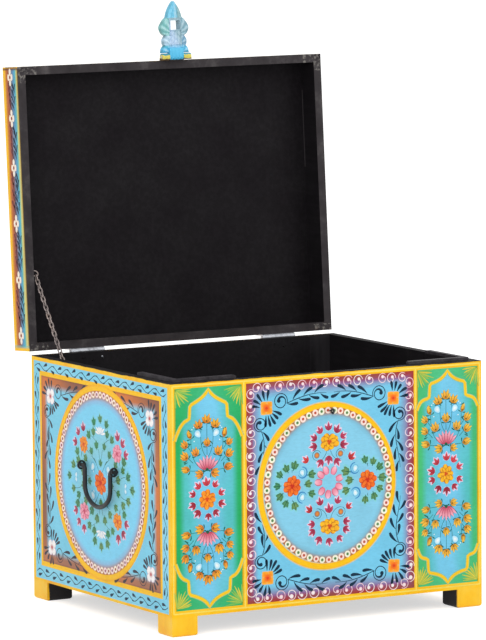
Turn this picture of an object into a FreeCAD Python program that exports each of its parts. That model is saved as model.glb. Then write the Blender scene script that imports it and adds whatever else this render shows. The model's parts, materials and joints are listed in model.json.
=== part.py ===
import FreeCAD, Part
import math
import os
import re
import Sketcher

# A painted wooden dowry chest with its lid held open by a chain.
# Millimetres, +Z up, the front faces -Y and the width runs along X.
# The origin lies on the floor under the middle of the open chest's bounding box.
# The lid's pieces are drawn closed, round the hinge pin, and then turned open about it.

SIZES = [
    ("box_width", 500.0, "outer width of the box"),
    ("box_depth", 405.0, "outer depth of the box and of the lid"),
    ("box_height", 322.0, "height of the four walls"),
    ("wall", 13.0, "thickness of the walls"),
    ("bottom_thickness", 10.0, "thickness of the bottom board"),
    ("foot_side", 40.0, "width and depth of a foot"),
    ("foot_height", 27.0, "height of a foot"),
    ("foot_round", 4.0, "rounding of a foot's lower edges"),
    ("batten_length", 104.0, "length of a guide batten on a side panel"),
    ("short_batten", 90.0, "length of a guide batten on the front panel"),
    ("batten_thickness", 8.0, "thickness of a guide batten"),
    ("batten_height", 42.0, "height of a guide batten"),
    ("batten_proud", 4.5, "how far a guide batten stands above the rim"),
    ("batten_round", 3.0, "rounding of a batten's free end"),
    ("lid_rail", 12.0, "thickness of the lid's rails"),
    ("rail_height", 38.0, "height of the lid's rails"),
    ("top_thickness", 8.0, "thickness of the lid's top board"),
    ("seam", 1.0, "gap between the rims when the lid is shut"),
    ("open_angle", 94.0, "angle that the chain lets the lid open, in degrees"),
    ("hinge_length", 54.0, "length of a butt hinge"),
    ("hinge_inset", 92.0, "from the side of the box to the middle of a hinge"),
    ("knuckle_radius", 4.0, "outer radius of a hinge knuckle"),
    ("knuckle_gap", 0.3, "clearance round and beside a knuckle"),
    ("leaf_thickness", 1.6, "thickness of a hinge leaf"),
    ("leaf_height", 18.0, "from the pin's axis to the edge of a hinge leaf"),
    ("pin_radius", 1.5, "radius of a hinge pin"),
    ("pin_clearance", 0.08, "radial clearance of a turning bore on its pin"),
    ("pin_proud", 0.8, "how far a pin stands out of its last knuckle"),
    ("screw_radius", 1.5, "shank radius of a hinge screw"),
    ("screw_head_radius", 3.0, "head radius of a hinge screw"),
    ("screw_point", 1.5, "length of a hinge screw's point"),
    ("screw_spread", 15.4, "from a hinge's middle to its outer screws"),
    ("screw_drop", 8.0, "from the pin's axis to the outer screws"),
    ("screw_low", 12.5, "from the pin's axis to the middle screw"),
    ("lid_screw_length", 11.0, "length of a hinge screw in the lid"),
    ("nail_radius", 1.1, "radius of a lost-head nail"),
    ("nail_length", 32.0, "length of a nail in the box"),
    ("lid_nail_length", 25.0, "length of a nail in the lid"),
    ("foot_screw_radius", 2.0, "shank radius of a foot's screw"),
    ("foot_screw_head", 4.0, "head radius of a foot's screw"),
    ("foot_screw_length", 28.0, "length of a foot's screw"),
    ("foot_screw_inset", 27.0, "from the outer faces to a foot's screw"),
    ("latch_offset", 2.5, "how far the hasp and its catch stand right of the middle"),
    ("pivot_height", 5.0, "from the lid's front face to the hasp's pin"),
    ("pivot_drop", 9.0, "from the lid's rim to the hasp's pin"),
    ("hasp_width", 46.0, "greatest width of the hasp"),
    ("hasp_height", 85.0, "from the lid's front face to the hasp's tip"),
    ("hasp_thickness", 15.0, "thickness of the hasp"),
    ("hasp_edge", 7.0, "thickness of the hasp along its outline"),
    ("leaf_shift", 3.3, "from the hasp's pin to the middle of its thickness"),
    ("hasp_neck", 22.6, "width of the hasp between its ears"),
    ("neck_radius", 4.4, "radius of the hasp's knuckle"),
    ("slot_width", 15.5, "width of the hasp's slot"),
    ("slot_height", 13.0, "height of the hasp's slot"),
    ("slot_centre", 50.5, "from the lid's front face to the middle of the slot"),
    ("ear_width", 11.8, "width of each ear of the hasp's block"),
    ("ear_gap", 0.3, "clearance between the block and the hasp"),
    ("ear_relief", 0.9, "clearance between the block and the shut box"),
    ("ear_foot", 6.0, "how far the block's foot reaches up the lid's front face"),
    ("ear_toe", 3.5, "thickness of the block at the end of its foot"),
    ("ear_step", 5.0, "how far the ears reach past each end of the block's foot"),
    ("web_height", 9.6, "from the lid's front face to the top of the block's web"),
    ("web_depth", 3.0, "thickness of the block's web"),
    ("hasp_pin_radius", 2.0, "radius of the hasp's pin"),
    ("catch_rod", 1.3, "rod radius of the catch's eye"),
    ("catch_ring", 3.0, "radius of the catch's ring at the middle of its rod"),
    ("catch_stand", 7.5, "from the front face to the middle of the catch's ring"),
    ("catch_bite", 11.0, "length of the catch's shank inside the front panel"),
    ("bail_rod", 3.2, "rod radius of a bail handle"),
    ("bail_span", 94.0, "between the middles of a handle's two eyes"),
    ("bail_width", 74.0, "between the middles of a bail's two legs"),
    ("bail_drop", 54.0, "from the bail's axis to the middle of its grip"),
    ("bail_side_radius", 22.0, "bend radius where a leg turns into the grip"),
    ("bail_grip_radius", 45.0, "bend radius of the grip"),
    ("bail_end_radius", 6.0, "bend radius where a leg turns into its end"),
    ("bail_end_proud", 4.5, "how far a bail's end passes the middle of its eye"),
    ("handle_height", 184.0, "from the bottom of the walls to the bail's axis"),
    ("handle_offset", 5.0, "how far the handles stand in front of the middle"),
    ("eye_rod", 1.5, "rod radius of a handle's eye"),
    ("eye_ring", 5.3, "radius of a handle's eye at the middle of its rod"),
    ("eye_stand", 0.4, "from the side panel to a handle's eye"),
    ("eye_bite", 11.0, "length of an eye's shank inside the side panel"),
    ("chain_rod", 1.0, "rod radius of a chain link"),
    ("chain_bow", 2.6, "radius of a link's bow at the middle of its rod"),
    ("chain_link", 11.4, "wanted outer length of a chain link"),
    ("chain_slack", 0.12, "clearance between two links"),
    ("hook_rod", 1.1, "rod radius of a chain's eye"),
    ("hook_ring", 4.4, "radius of a chain's eye at the middle of its rod"),
    ("hook_stand", 0.5, "from the side panel to a chain's eye"),
    ("hook_bite", 9.0, "length of a chain eye's shank inside the wood"),
    ("lid_hook_reach", 110.0, "from the lid's rear face to the chain's eye"),
    ("lid_hook_depth", 10.5, "from the lid's rim to the chain's eye"),
    ("box_hook_reach", 91.0, "from the box's rear face to the chain's eye"),
    ("box_hook_drop", 48.0, "from the box's rim to the chain's eye"),
    ("overrun", 1.0, "how far a cutting shape passes a face"),
]

# What follows from the sizes above, still as formulas of the same sheet.
DERIVED = [
    ("half_width", "box_width / 2"),
    ("rim_z", "foot_height + box_height"),
    ("lid_height", "rail_height + top_thickness"),
    ("lid_front", "-(knuckle_radius + box_depth)"),
    ("lid_rim", "seam / 2"),
    ("lid_top", "lid_rim + lid_height"),
    ("catch_reach", "catch_stand + catch_ring + catch_rod"),
    ("lid_reach", "knuckle_radius + lid_front * cos(open_angle) + lid_top * sin(open_angle)"),
    ("front_y", "catch_reach - (catch_reach + box_depth + lid_reach) / 2"),
    ("back_y", "front_y + box_depth"),
    ("middle_y", "(front_y + back_y) / 2"),
    ("pin_y", "back_y + knuckle_radius"),
    ("pin_z", "rim_z + seam / 2"),
    ("hasp_pin_y", "lid_front - pivot_height"),
    ("hasp_pin_z", "lid_rim - pivot_drop"),
    ("catch_z", "rim_z + seam - pivot_drop - (slot_centre - pivot_height)"),
    ("handle_z", "foot_height + handle_height"),
    ("handle_y", "middle_y - handle_offset"),
    ("eye_out", "eye_ring + eye_rod + eye_stand"),
    ("lid_hook_y", "-(knuckle_radius + lid_hook_reach)"),
    ("lid_hook_z", "lid_rim + lid_hook_depth"),
    ("hook_x", "wall + hook_ring + hook_rod + hook_stand - half_width"),
    ("upper_y", "pin_y + lid_hook_y * cos(open_angle) + lid_hook_z * sin(open_angle)"),
    ("upper_z", "pin_z - lid_hook_y * sin(open_angle) + lid_hook_z * cos(open_angle)"),
    ("lower_y", "back_y - box_hook_reach"),
    ("lower_z", "rim_z - box_hook_drop"),
    ("chain_lean", "atan((upper_y - lower_y) / (upper_z - lower_z)) / 1deg"),
]

# Places along a board, as shares of its length
wall_nail_shares = (0.08, 0.36, 0.64, 0.92)
bottom_nail_shares = (0.15, 0.5, 0.85)
lid_nail_shares = (0.12, 0.38, 0.62, 0.88)
rail_end_shares = (0.28, 0.58)
# A leaf's three screws: along the leaf from its middle, and away from the pin
hinge_screw_places = (("-screw_spread", "screw_drop"), ("0", "screw_low"),
                      ("screw_spread", "screw_drop"))

# Half of the hasp's outline, tip last, as shares of its half width and its height
base_shares = ((0.97, 0.125), (0.885, 0.2), (0.76, 0.25))
lower_lobe_shares = ((0.83, 0.325), (0.69, 0.415))
upper_lobe_shares = ((1.0, 0.54), (0.7, 0.69))
tip_arc_shares = ((0.52, 0.73), (0.34, 0.87), (0.0, 1.0))
# The hasp's raised face is the same outline drawn in towards its middle
face_width_share = 0.72
face_height_share = 0.9
face_middle_share = 0.56

doc = FreeCAD.newDocument("chest")
sheet = doc.addObject("Spreadsheet::Sheet", "Sizes")
aliases = [row[0] for row in SIZES] + [row[0] for row in DERIVED]
nodes = []


def formula(text):
    """Writes the sheet's name before each of its aliases in a formula."""
    return re.sub(r"[a-z_]+", lambda m: "Sizes." + m[0] if m[0] in aliases else m[0], str(text))


def fill_sheet():
    for row, (name, value, note) in enumerate(SIZES, start=1):
        sheet.set(f"A{row}", note)
        sheet.set(f"B{row}", str(value))
        sheet.setAlias(f"B{row}", name)
    for row, (name, text) in enumerate(DERIVED, start=len(SIZES) + 1):
        sheet.set(f"B{row}", "=" + text)
        sheet.setAlias(f"B{row}", name)
    doc.recompute()


def size(name):
    """A cell's value, as a plain number."""
    value = sheet.get(name)
    return float(getattr(value, "Value", value))


def bind(item, **formulas):
    for name, text in formulas.items():
        item.setExpression(name.replace("__", "."), formula(text))


def put(item, corner):
    """Binds an object's place, with its turn left as it is."""
    for axis, text in zip("xyz", corner):
        item.setExpression(f"Placement.Base.{axis}", formula(text))


def box(name, corner, lengths):
    item = doc.addObject("Part::Box", name)
    bind(item, Length=lengths[0], Width=lengths[1], Height=lengths[2])
    put(item, corner)
    return item


def aim(item, direction):
    """Turns an object's own Z axis to a direction."""
    item.Placement.Rotation = FreeCAD.Rotation(FreeCAD.Vector(0, 0, 1), FreeCAD.Vector(*direction))


def rod(name, start, direction, radius, length):
    item = doc.addObject("Part::Cylinder", name)
    aim(item, direction)
    bind(item, Radius=radius, Height=length)
    put(item, start)
    return item


def cone(name, start, direction, first_radius, last_radius, length):
    item = doc.addObject("Part::Cone", name)
    aim(item, direction)
    bind(item, Radius1=first_radius, Radius2=last_radius, Height=length)
    put(item, start)
    return item


def fuse(name, parts):
    item = doc.addObject("Part::MultiFuse", name)
    item.Shapes = parts
    return item


def bundle(name, parts):
    """Separate solids that share one node."""
    item = doc.addObject("Part::Compound", name)
    item.Links = parts
    return item


def cut(name, base, tools):
    item = doc.addObject("Part::Cut", name)
    item.Base = base
    item.Tool = tools[0] if len(tools) == 1 else bundle(name + "_tools", tools)
    return item


def node(name, item, on_lid=False):
    """Registers a finished sub-part. One that is drawn on the shut lid is turned open."""
    item.Label = name
    if on_lid:
        bind(item, Placement__Rotation__Axis__x="1", Placement__Rotation__Axis__z="0")
        bind(item, Placement__Rotation__Angle="-open_angle")
        put(item, ("0", "pin_y", "pin_z"))
    nodes.append(item)
    return item


def sides():
    """The left and the right side, with the sign of X."""
    return (("left", "-1"), ("right", "1"))


def block_body(name, lengths):
    """A PartDesign block whose footprint is centred on its own origin."""
    body = doc.addObject("PartDesign::Body", name)
    plane = next(p for p in body.Origin.OriginFeatures if p.Role == "XY_Plane")
    sketch = body.newObject("Sketcher::SketchObject", name + "_sketch")
    sketch.AttachmentSupport = [(plane, "")]
    sketch.MapMode = "FlatFace"
    corners = [FreeCAD.Vector(x, y, 0) for x, y in ((0, 0), (1, 0), (1, 1), (0, 1))]
    for first, last in zip(corners, corners[1:] + corners[:1]):
        sketch.addGeometry(Part.LineSegment(first, last), False)
    for line in range(4):
        sketch.addConstraint(Sketcher.Constraint("Coincident", line, 2, (line + 1) % 4, 1))
        sketch.addConstraint(Sketcher.Constraint("Vertical" if line % 2 else "Horizontal", line))
    sketch.addConstraint(Sketcher.Constraint("Symmetric", 0, 1, 1, 2, -1, 1))
    for constraint, line, length in (("DistanceX", 0, lengths[0]), ("DistanceY", 1, lengths[1])):
        index = sketch.addConstraint(Sketcher.Constraint(constraint, line, 1, line, 2, 1))
        sketch.setExpression(f"Constraints[{index}]", formula(length))
    pad = body.newObject("PartDesign::Pad", name + "_pad")
    pad.Profile = sketch
    bind(pad, Length=lengths[2])
    body.Tip = pad
    doc.recompute()
    return body, pad


def round_edges(body, pad, name, radius, wanted):
    """Rounds the edges of a block that the test names."""
    chosen = [f"Edge{n}" for n, edge in enumerate(pad.Shape.Edges, start=1) if wanted(edge)]
    fillet = body.newObject("PartDesign::Fillet", name + "_fillet")
    fillet.Base = (pad, chosen)
    bind(fillet, Radius=radius)
    body.Tip = fillet
    doc.recompute()


def nail(name, start, direction, length):
    return rod(name, start, direction, "nail_radius", length)


def countersunk_screw(name, start, direction, radius, head, length, point="0"):
    """A screw with its flat head at start; its shank ends in a cone if it has a point."""
    x, y, z = start
    reach = [f"({length}) * ({d})" for d in direction]
    end = tuple(f"({a}) + {b}" for a, b in zip((x, y, z), reach))
    sunk = cone(name + "_head", start, direction, head, radius, f"{head} - {radius}")
    pieces = [sunk, rod(name + "_shank", start, direction, radius, length)]
    if point != "0":
        pieces.append(cone(name + "_point", end, direction, radius, f"{radius} / 3", point))
    return fuse(name, pieces)


def ring(name, centre, turn_axis, angle, ring_radius, rod_radius):
    """A ring whose axis is turned from Z about one axis of the frame."""
    item = doc.addObject("Part::Torus", name)
    for letter in "xyz":
        share = "1" if letter == turn_axis else "0"
        item.setExpression(f"Placement.Rotation.Axis.{letter}", share)
    bind(item, Radius1=ring_radius, Radius2=rod_radius, Placement__Rotation__Angle=angle)
    put(item, centre)
    return item


def make_box():
    """The four walls and the bottom, nailed at the corners."""
    nails = []
    for side, sign in sides():
        for share in wall_nail_shares:
            x = f"{sign} * (half_width - wall / 2)"
            z = f"foot_height + box_height * {share}"
            name = f"nail_{side}_{len(nails)}"
            nails.append(nail(name + "_front", (x, "front_y", z), (0, 1, 0), "nail_length"))
            nails.append(nail(name + "_back", (x, "back_y", z), (0, -1, 0), "nail_length"))
    wall_nails = node("wall_nails", bundle("wall_nail_set", nails))

    nails = []
    for side, sign in sides():
        for share in bottom_nail_shares:
            start = (f"{sign} * half_width", f"front_y + box_depth * {share}",
                     "foot_height + bottom_thickness / 2")
            nails.append(nail(f"bottom_nail_{side}_{len(nails)}", start, (-float(sign), 0, 0),
                              "nail_length"))
    bottom_nails = node("bottom_nails", bundle("bottom_nail_set", nails))

    screws = []
    for side, sign in sides():
        for end, edge, inward in (("front", "front_y", "1"), ("rear", "back_y", "-1")):
            start = (f"{sign} * (half_width - foot_screw_inset)",
                     f"{edge} + {inward} * foot_screw_inset", "foot_height + bottom_thickness")
            screws.append(countersunk_screw(f"foot_screw_{end}_{side}", start, (0, 0, -1),
                                            "foot_screw_radius", "foot_screw_head",
                                            "foot_screw_length"))
    foot_screws = node("foot_screws", bundle("foot_screw_set", screws))

    hinge_screws = {side: make_box_hinge(side, sign) for side, sign in sides()}
    catch = make_catch()
    eyes = {side: make_handle(side, sign) for side, sign in sides()}
    hook = make_box_hook()

    front = box("front_board", ("-half_width", "front_y", "foot_height"),
                ("box_width", "wall", "box_height"))
    node("front_panel", cut("front_panel_cut", front, [wall_nails, catch]))
    back = box("back_board", ("-half_width", "back_y - wall", "foot_height"),
               ("box_width", "wall", "box_height"))
    node("back_panel", cut("back_panel_cut", back, [wall_nails, *hinge_screws.values()]))
    for side, sign in sides():
        board = box(f"{side}_board",
                    (f"{sign} * (half_width - wall / 2) - wall / 2", "front_y + wall", "foot_height"),
                    ("wall", "box_depth - 2 * wall", "box_height"))
        tools = [wall_nails, bottom_nails, eyes[side]]
        tools += [hook] if side == "left" else []
        node(f"{side}_side_panel", cut(f"{side}_panel_cut", board, tools))
    bottom = box("bottom_plain", ("wall - half_width", "front_y + wall", "foot_height"),
                 ("box_width - 2 * wall", "box_depth - 2 * wall", "bottom_thickness"))
    node("bottom_board", cut("bottom_cut", bottom, [bottom_nails, foot_screws]))
    make_feet(foot_screws)
    make_battens()


def make_feet(foot_screws):
    for side, sign in sides():
        for end, edge, inward in (("front", "front_y", "1"), ("rear", "back_y", "-1")):
            name = f"foot_{end}_{side}"
            body, pad = block_body(name + "_block", ("foot_side", "foot_side", "foot_height"))
            round_edges(body, pad, name, "foot_round",
                        lambda edge: edge.BoundBox.ZMax < size("foot_height") / 2)
            put(body, (f"{sign} * (half_width - foot_side / 2)",
                       f"{edge} + {inward} * foot_side / 2", "0"))
            node(name, cut(name + "_cut", body, [foot_screws]))


def make_battens():
    """Two guide battens meet in each front corner and stand a little above the rim."""
    base_z = "rim_z + batten_proud - batten_height"
    for side, sign in sides():
        for arm in ("side", "front"):
            name = f"{side}_{arm}_batten"
            along_y = arm == "side"
            length = "batten_length" if along_y else "short_batten"
            lengths = ("batten_thickness", length) if along_y else (length, "batten_thickness")
            body, pad = block_body(name + "_block", (*lengths, "batten_height"))
            free = FreeCAD.Vector(0, 1, 0) if along_y else FreeCAD.Vector(-float(sign), 0, 0)

            def at_free_top(edge, free=free, length=length):
                middle = edge.CenterOfMass
                beyond = middle.dot(free) > (size(length) - size("batten_thickness")) / 2
                return beyond and middle.z > size("batten_height") - size("batten_round")

            round_edges(body, pad, name, "batten_round", at_free_top)
            if along_y:
                put(body, (f"{sign} * (half_width - wall - batten_thickness / 2)",
                           "front_y + wall + batten_length / 2", base_z))
            else:
                put(body, (f"{sign} * (half_width - wall - batten_thickness - short_batten / 2)",
                           "front_y + wall + batten_thickness / 2", base_z))
            node(name, body)


def hinge_middle(sign):
    return f"{sign} * (half_width - hinge_inset)"


def make_box_hinge(side, sign):
    """The fixed leaf with its two outer knuckles, the pin and the three screws."""
    middle = hinge_middle(sign)
    name = f"{side}_box_leaf"
    left_end = f"{middle} - hinge_length / 2"
    knuckle = "hinge_length / 4 - knuckle_gap / 2"
    plate = box(name + "_plate", (left_end, "back_y", "pin_z - leaf_height"),
                ("hinge_length", "leaf_thickness", "leaf_height"))
    first = rod(name + "_first", (left_end, "pin_y", "pin_z"), (1, 0, 0), "knuckle_radius", knuckle)
    last = rod(name + "_last", (f"{middle} + hinge_length / 4 + knuckle_gap / 2", "pin_y", "pin_z"),
               (1, 0, 0), "knuckle_radius", knuckle)
    gap = rod(name + "_gap", (f"{middle} - hinge_length / 4 - knuckle_gap / 2", "pin_y", "pin_z"),
              (1, 0, 0), "knuckle_radius + knuckle_gap", "hinge_length / 2 + knuckle_gap")
    pin = rod(f"hinge_pin_{side}_rod", (f"{left_end} - pin_proud", "pin_y", "pin_z"), (1, 0, 0),
              "pin_radius", "hinge_length + 2 * pin_proud")
    node(f"hinge_pin_{side}", pin)

    screws = []
    for place, drop in hinge_screw_places:
        start = (f"{middle} + {place}", "back_y + leaf_thickness", f"pin_z - {drop}")
        screws.append(countersunk_screw(f"box_screw_{side}_{len(screws)}", start, (0, -1, 0),
                                        "screw_radius", "screw_head_radius",
                                        "leaf_thickness + wall", "screw_point"))
    screw_set = node(f"box_hinge_screws_{side}", bundle(f"box_screws_{side}", screws))
    leaf = fuse(name + "_solid", [plate, first, last])
    node(f"hinge_box_leaf_{side}", cut(name + "_cut", leaf, [gap, pin, screw_set]))
    return screw_set


def make_lid_hinge(side, sign):
    """The moving leaf with its middle knuckle, and its screws, drawn on the shut lid."""
    middle = hinge_middle(sign)
    name = f"{side}_lid_leaf"
    left_end = f"{middle} - hinge_length / 2"
    plate = box(name + "_plate", (left_end, "-knuckle_radius", "0"),
                ("hinge_length", "leaf_thickness", "leaf_height"))
    knuckle = rod(name + "_knuckle", (f"{middle} - hinge_length / 4 + knuckle_gap / 2", "0", "0"),
                  (1, 0, 0), "knuckle_radius", "hinge_length / 2 - knuckle_gap")
    gaps = []
    for end, start in (("first", f"{left_end} - overrun"),
                       ("last", f"{middle} + hinge_length / 4 - knuckle_gap / 2")):
        gaps.append(rod(f"{name}_{end}_gap", (start, "0", "0"), (1, 0, 0),
                        "knuckle_radius + knuckle_gap",
                        "hinge_length / 4 + knuckle_gap / 2 + overrun"))
    bore = rod(name + "_bore", (left_end, "0", "0"), (1, 0, 0), "pin_radius + pin_clearance",
               "hinge_length")
    screws = []
    for place, rise in hinge_screw_places:
        start = (f"{middle} + {place}", "leaf_thickness - knuckle_radius", rise)
        screws.append(countersunk_screw(f"lid_screw_{side}_{len(screws)}", start, (0, -1, 0),
                                        "screw_radius", "screw_head_radius", "lid_screw_length"))
    screw_set = bundle(f"lid_screws_{side}", screws)
    leaf = fuse(name + "_solid", [plate, knuckle])
    node(f"hinge_lid_leaf_{side}", cut(name + "_cut", leaf, [*gaps, bore, screw_set]), on_lid=True)
    return screw_set


def make_lid():
    """Four rails under a top board, all drawn shut and turned open about the hinge pin."""
    inner = "box_width - 2 * lid_rail"
    screw_sets = {side: make_lid_hinge(side, sign) for side, sign in sides()}
    block_nails = make_hasp_block()

    top_nails = []
    for share in lid_nail_shares:
        for y in ("lid_front + lid_rail / 2", "-knuckle_radius - lid_rail / 2"):
            start = (f"box_width * {share} - half_width", y, "lid_top")
            top_nails.append(nail(f"top_nail_{len(top_nails)}", start, (0, 0, -1),
                                  "lid_nail_length"))
        for side, sign in sides():
            start = (f"{sign} * (half_width - lid_rail / 2)", f"lid_front + box_depth * {share}",
                     "lid_top")
            top_nails.append(nail(f"top_nail_{side}_{len(top_nails)}", start, (0, 0, -1),
                                  "lid_nail_length"))
    end_nails = []
    for side, sign in sides():
        for share in rail_end_shares:
            for y, way in (("lid_front", 1), ("-knuckle_radius", -1)):
                start = (f"{sign} * (half_width - lid_rail / 2)", y,
                         f"lid_rim + rail_height * {share}")
                end_nails.append(nail(f"end_nail_{len(end_nails)}", start, (0, way, 0),
                                      "lid_nail_length"))
    tops = bundle("top_nail_set", top_nails)
    ends = bundle("end_nail_set", end_nails)
    hook_hole = rod("lid_hook_hole", ("hook_x", "lid_hook_y", "lid_hook_z"), (-1, 0, 0), "hook_rod",
                    "hook_x + half_width - lid_rail + hook_bite")

    front = box("lid_front_board", ("-half_width", "lid_front", "lid_rim"),
                ("box_width", "lid_rail", "rail_height"))
    node("lid_front_rail", cut("lid_front_cut", front, [tops, ends, block_nails]), on_lid=True)
    rear = box("lid_rear_board", ("-half_width", "-knuckle_radius - lid_rail", "lid_rim"),
               ("box_width", "lid_rail", "rail_height"))
    node("lid_rear_rail", cut("lid_rear_cut", rear, [tops, ends, *screw_sets.values()]), on_lid=True)
    for side, sign in sides():
        board = box(f"lid_{side}_board",
                    (f"{sign} * (half_width - lid_rail / 2) - lid_rail / 2", "lid_front + lid_rail",
                     "lid_rim"), ("lid_rail", "box_depth - 2 * lid_rail", "rail_height"))
        tools = [tops, ends] + ([hook_hole] if side == "left" else [])
        node(f"lid_{side}_rail", cut(f"lid_{side}_cut", board, tools), on_lid=True)
    top = box("lid_top_plain", ("-half_width", "lid_front", "lid_rim + rail_height"),
              ("box_width", "box_depth", "top_thickness"))
    node("lid_top_board", cut("lid_top_cut", top, [tops]), on_lid=True)
    node("lid_top_nails", bundle("lid_top_nails_open", [tops]), on_lid=True)
    node("lid_end_nails", bundle("lid_end_nails_open", [ends]), on_lid=True)
    node("hasp_block_nails", bundle("block_nails_open", [block_nails]), on_lid=True)
    for side, screws in screw_sets.items():
        node(f"lid_hinge_screws_{side}", bundle(f"lid_screws_{side}_open", [screws]), on_lid=True)


def block_profile():
    """The hasp block's outline in the YZ plane: a round head about the pin and a sloping foot."""
    pin_y, pin_z = size("hasp_pin_y"), size("hasp_pin_z")
    radius, rim, face = size("pivot_height"), size("lid_rim"), size("lid_front")
    toe_z = rim + size("ear_foot")
    toe_y = face - size("ear_toe")
    low_y = face - size("ear_relief")

    def at(y, z):
        return FreeCAD.Vector(0, y, z)

    head = Part.Arc(at(pin_y, pin_z - radius), at(pin_y - radius, pin_z), at(pin_y, pin_z + radius))
    points = [at(pin_y, pin_z + radius), at(toe_y, toe_z), at(face, toe_z), at(face, rim),
              at(low_y, rim), at(low_y, pin_z - radius), at(pin_y, pin_z - radius)]
    lines = [Part.LineSegment(a, b).toShape() for a, b in zip(points, points[1:])]
    return Part.Face(Part.Wire([head.toShape(), *lines]))


def make_hasp_block():
    """The block on the lid's front rail whose two ears hold the hasp's pin, and its nails.

    Its web stands behind the hasp's knuckle and stops the open hasp from falling back."""
    reach = "(hasp_neck / 2 + ear_gap)"
    pin = rod("hasp_pin_rod", (f"latch_offset - {reach} - ear_width", "hasp_pin_y", "hasp_pin_z"),
              (1, 0, 0), "hasp_pin_radius", f"2 * ({reach} + ear_width)")
    block = doc.addObject("Part::Feature", "hasp_block_plain")
    width = size("hasp_neck") + 2 * (size("ear_gap") + size("ear_width"))
    block.Shape = block_profile().extrude(FreeCAD.Vector(width, 0, 0))
    put(block, (f"latch_offset - {reach} - ear_width", "0", "0"))
    web = box("hasp_block_web", (f"latch_offset - {reach}", "lid_front - web_height",
                                 "hasp_pin_z + neck_radius + ear_gap"),
              (f"2 * {reach}", "web_height - ear_relief", "web_depth"))
    notch = box("hasp_block_notch",
                (f"latch_offset - {reach}", "hasp_pin_y - pivot_height - overrun",
                 "hasp_pin_z - pivot_height - overrun"),
                (f"2 * {reach}", "2 * pivot_height + overrun",
                 "pivot_height + overrun + neck_radius + ear_gap"))
    nails, steps = [], []
    for side, sign in sides():
        nails.append(nail(f"block_nail_{side}",
                          (f"latch_offset + {sign} * {reach}", "lid_front - ear_toe",
                           "lid_rim + ear_foot / 2"), (0, 1, 0), "ear_toe + lid_rail - overrun"))
        middle = f"latch_offset + {sign} * ({reach} + ear_width + (overrun - ear_step) / 2)"
        steps.append(box(f"hasp_block_step_{side}",
                         (f"{middle} - (ear_step + overrun) / 2", "lid_front - pivot_height - overrun",
                          "hasp_pin_z + pivot_height"),
                         ("ear_step + overrun", "pivot_height + 2 * overrun",
                          "pivot_drop - pivot_height + ear_foot + overrun")))
    nail_set = bundle("block_nail_set", nails)
    solid = fuse("hasp_block_solid", [block, web])
    node("hasp_block", cut("hasp_block_cut", solid, [notch, *steps, pin, nail_set]), on_lid=True)
    node("hasp_pin", bundle("hasp_pin_open", [pin]), on_lid=True)
    return nail_set


def hasp_outline(width_share, height_share, x):
    """The leaf's closed outline at one depth, drawn in towards its middle by the shares."""
    half, height = size("hasp_width") / 2, size("hasp_height")
    middle = face_middle_share * height

    def at(share, side):
        across = side * share[0] * half * width_share
        up = middle + (share[1] * height - middle) * height_share
        return FreeCAD.Vector(across, -up, x)

    def half_edges(side):
        base, hollow, low = (at(s, side) for s in base_shares)
        lower, lower_end = (at(s, side) for s in lower_lobe_shares)
        upper, upper_end = (at(s, side) for s in upper_lobe_shares)
        tip_start, tip_bulge, tip = (at(s, side) for s in tip_arc_shares)
        return [Part.Arc(base, hollow, low).toShape(),
                Part.Arc(low, lower, lower_end).toShape(),
                Part.Arc(lower_end, upper, upper_end).toShape(),
                Part.LineSegment(upper_end, tip_start).toShape(),
                Part.Arc(tip_start, tip_bulge, tip).toShape()]

    base = Part.LineSegment(at(base_shares[0], -1), at(base_shares[0], 1)).toShape()
    right, left = half_edges(1), half_edges(-1)
    return Part.Wire([base, *right, *left[::-1]])


def make_hasp():
    """The carved leaf: a flat-edged outline with a raised face on both sides, and a knuckle."""
    edge, face = size("hasp_edge") / 2, size("hasp_thickness") / 2
    plate = Part.Face(hasp_outline(1, 1, -edge)).extrude(FreeCAD.Vector(0, 0, 2 * edge))
    for way in (-1, 1):
        low = hasp_outline(1, 1, way * edge)
        high = hasp_outline(face_width_share, face_height_share, way * face)
        plate = plate.fuse(Part.makeLoft([low, high], True, True))
    leaf = doc.addObject("Part::Feature", "hasp_leaf")
    leaf.Shape = plate
    put(leaf, ("latch_offset", "lid_front", "hasp_pin_z + leaf_shift"))

    x = "latch_offset - hasp_neck / 2"
    knuckle = rod("hasp_knuckle", (x, "hasp_pin_y", "hasp_pin_z"), (1, 0, 0), "neck_radius",
                  "hasp_neck")
    neck_top = f"({base_shares[0][1]} * hasp_height + hasp_edge)"
    neck = box("hasp_neck_block", (x, f"lid_front - {neck_top}", "hasp_pin_z - neck_radius"),
               ("hasp_neck", f"{neck_top} - pivot_height", "2 * neck_radius"))
    solid = fuse("hasp_solid", [leaf, knuckle, neck])
    slot = box("hasp_slot", ("latch_offset - slot_width / 2",
                             "lid_front - slot_centre - slot_height / 2",
                             "hasp_pin_z + leaf_shift - hasp_thickness / 2 - overrun"),
               ("slot_width", "slot_height", "hasp_thickness + 2 * overrun"))
    bore = rod("hasp_bore", (f"{x} - overrun", "hasp_pin_y", "hasp_pin_z"), (1, 0, 0),
               "hasp_pin_radius + pin_clearance", "hasp_neck + 2 * overrun")
    node("hasp", cut("hasp_cut", solid, [slot, bore]), on_lid=True)


def make_catch():
    """The small iron eye on the front, which the hasp's slot drops over."""
    place = ("latch_offset", "front_y - catch_stand", "catch_z")
    loop = ring("catch_loop", place, "y", "90", "catch_ring", "catch_rod")
    shank = rod("catch_shank", ("latch_offset", "front_y - catch_stand + catch_ring", "catch_z"),
                (0, 1, 0), "catch_rod", "catch_stand - catch_ring + catch_bite")
    return node("front_catch", fuse("catch_solid", [loop, shank]))


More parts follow.
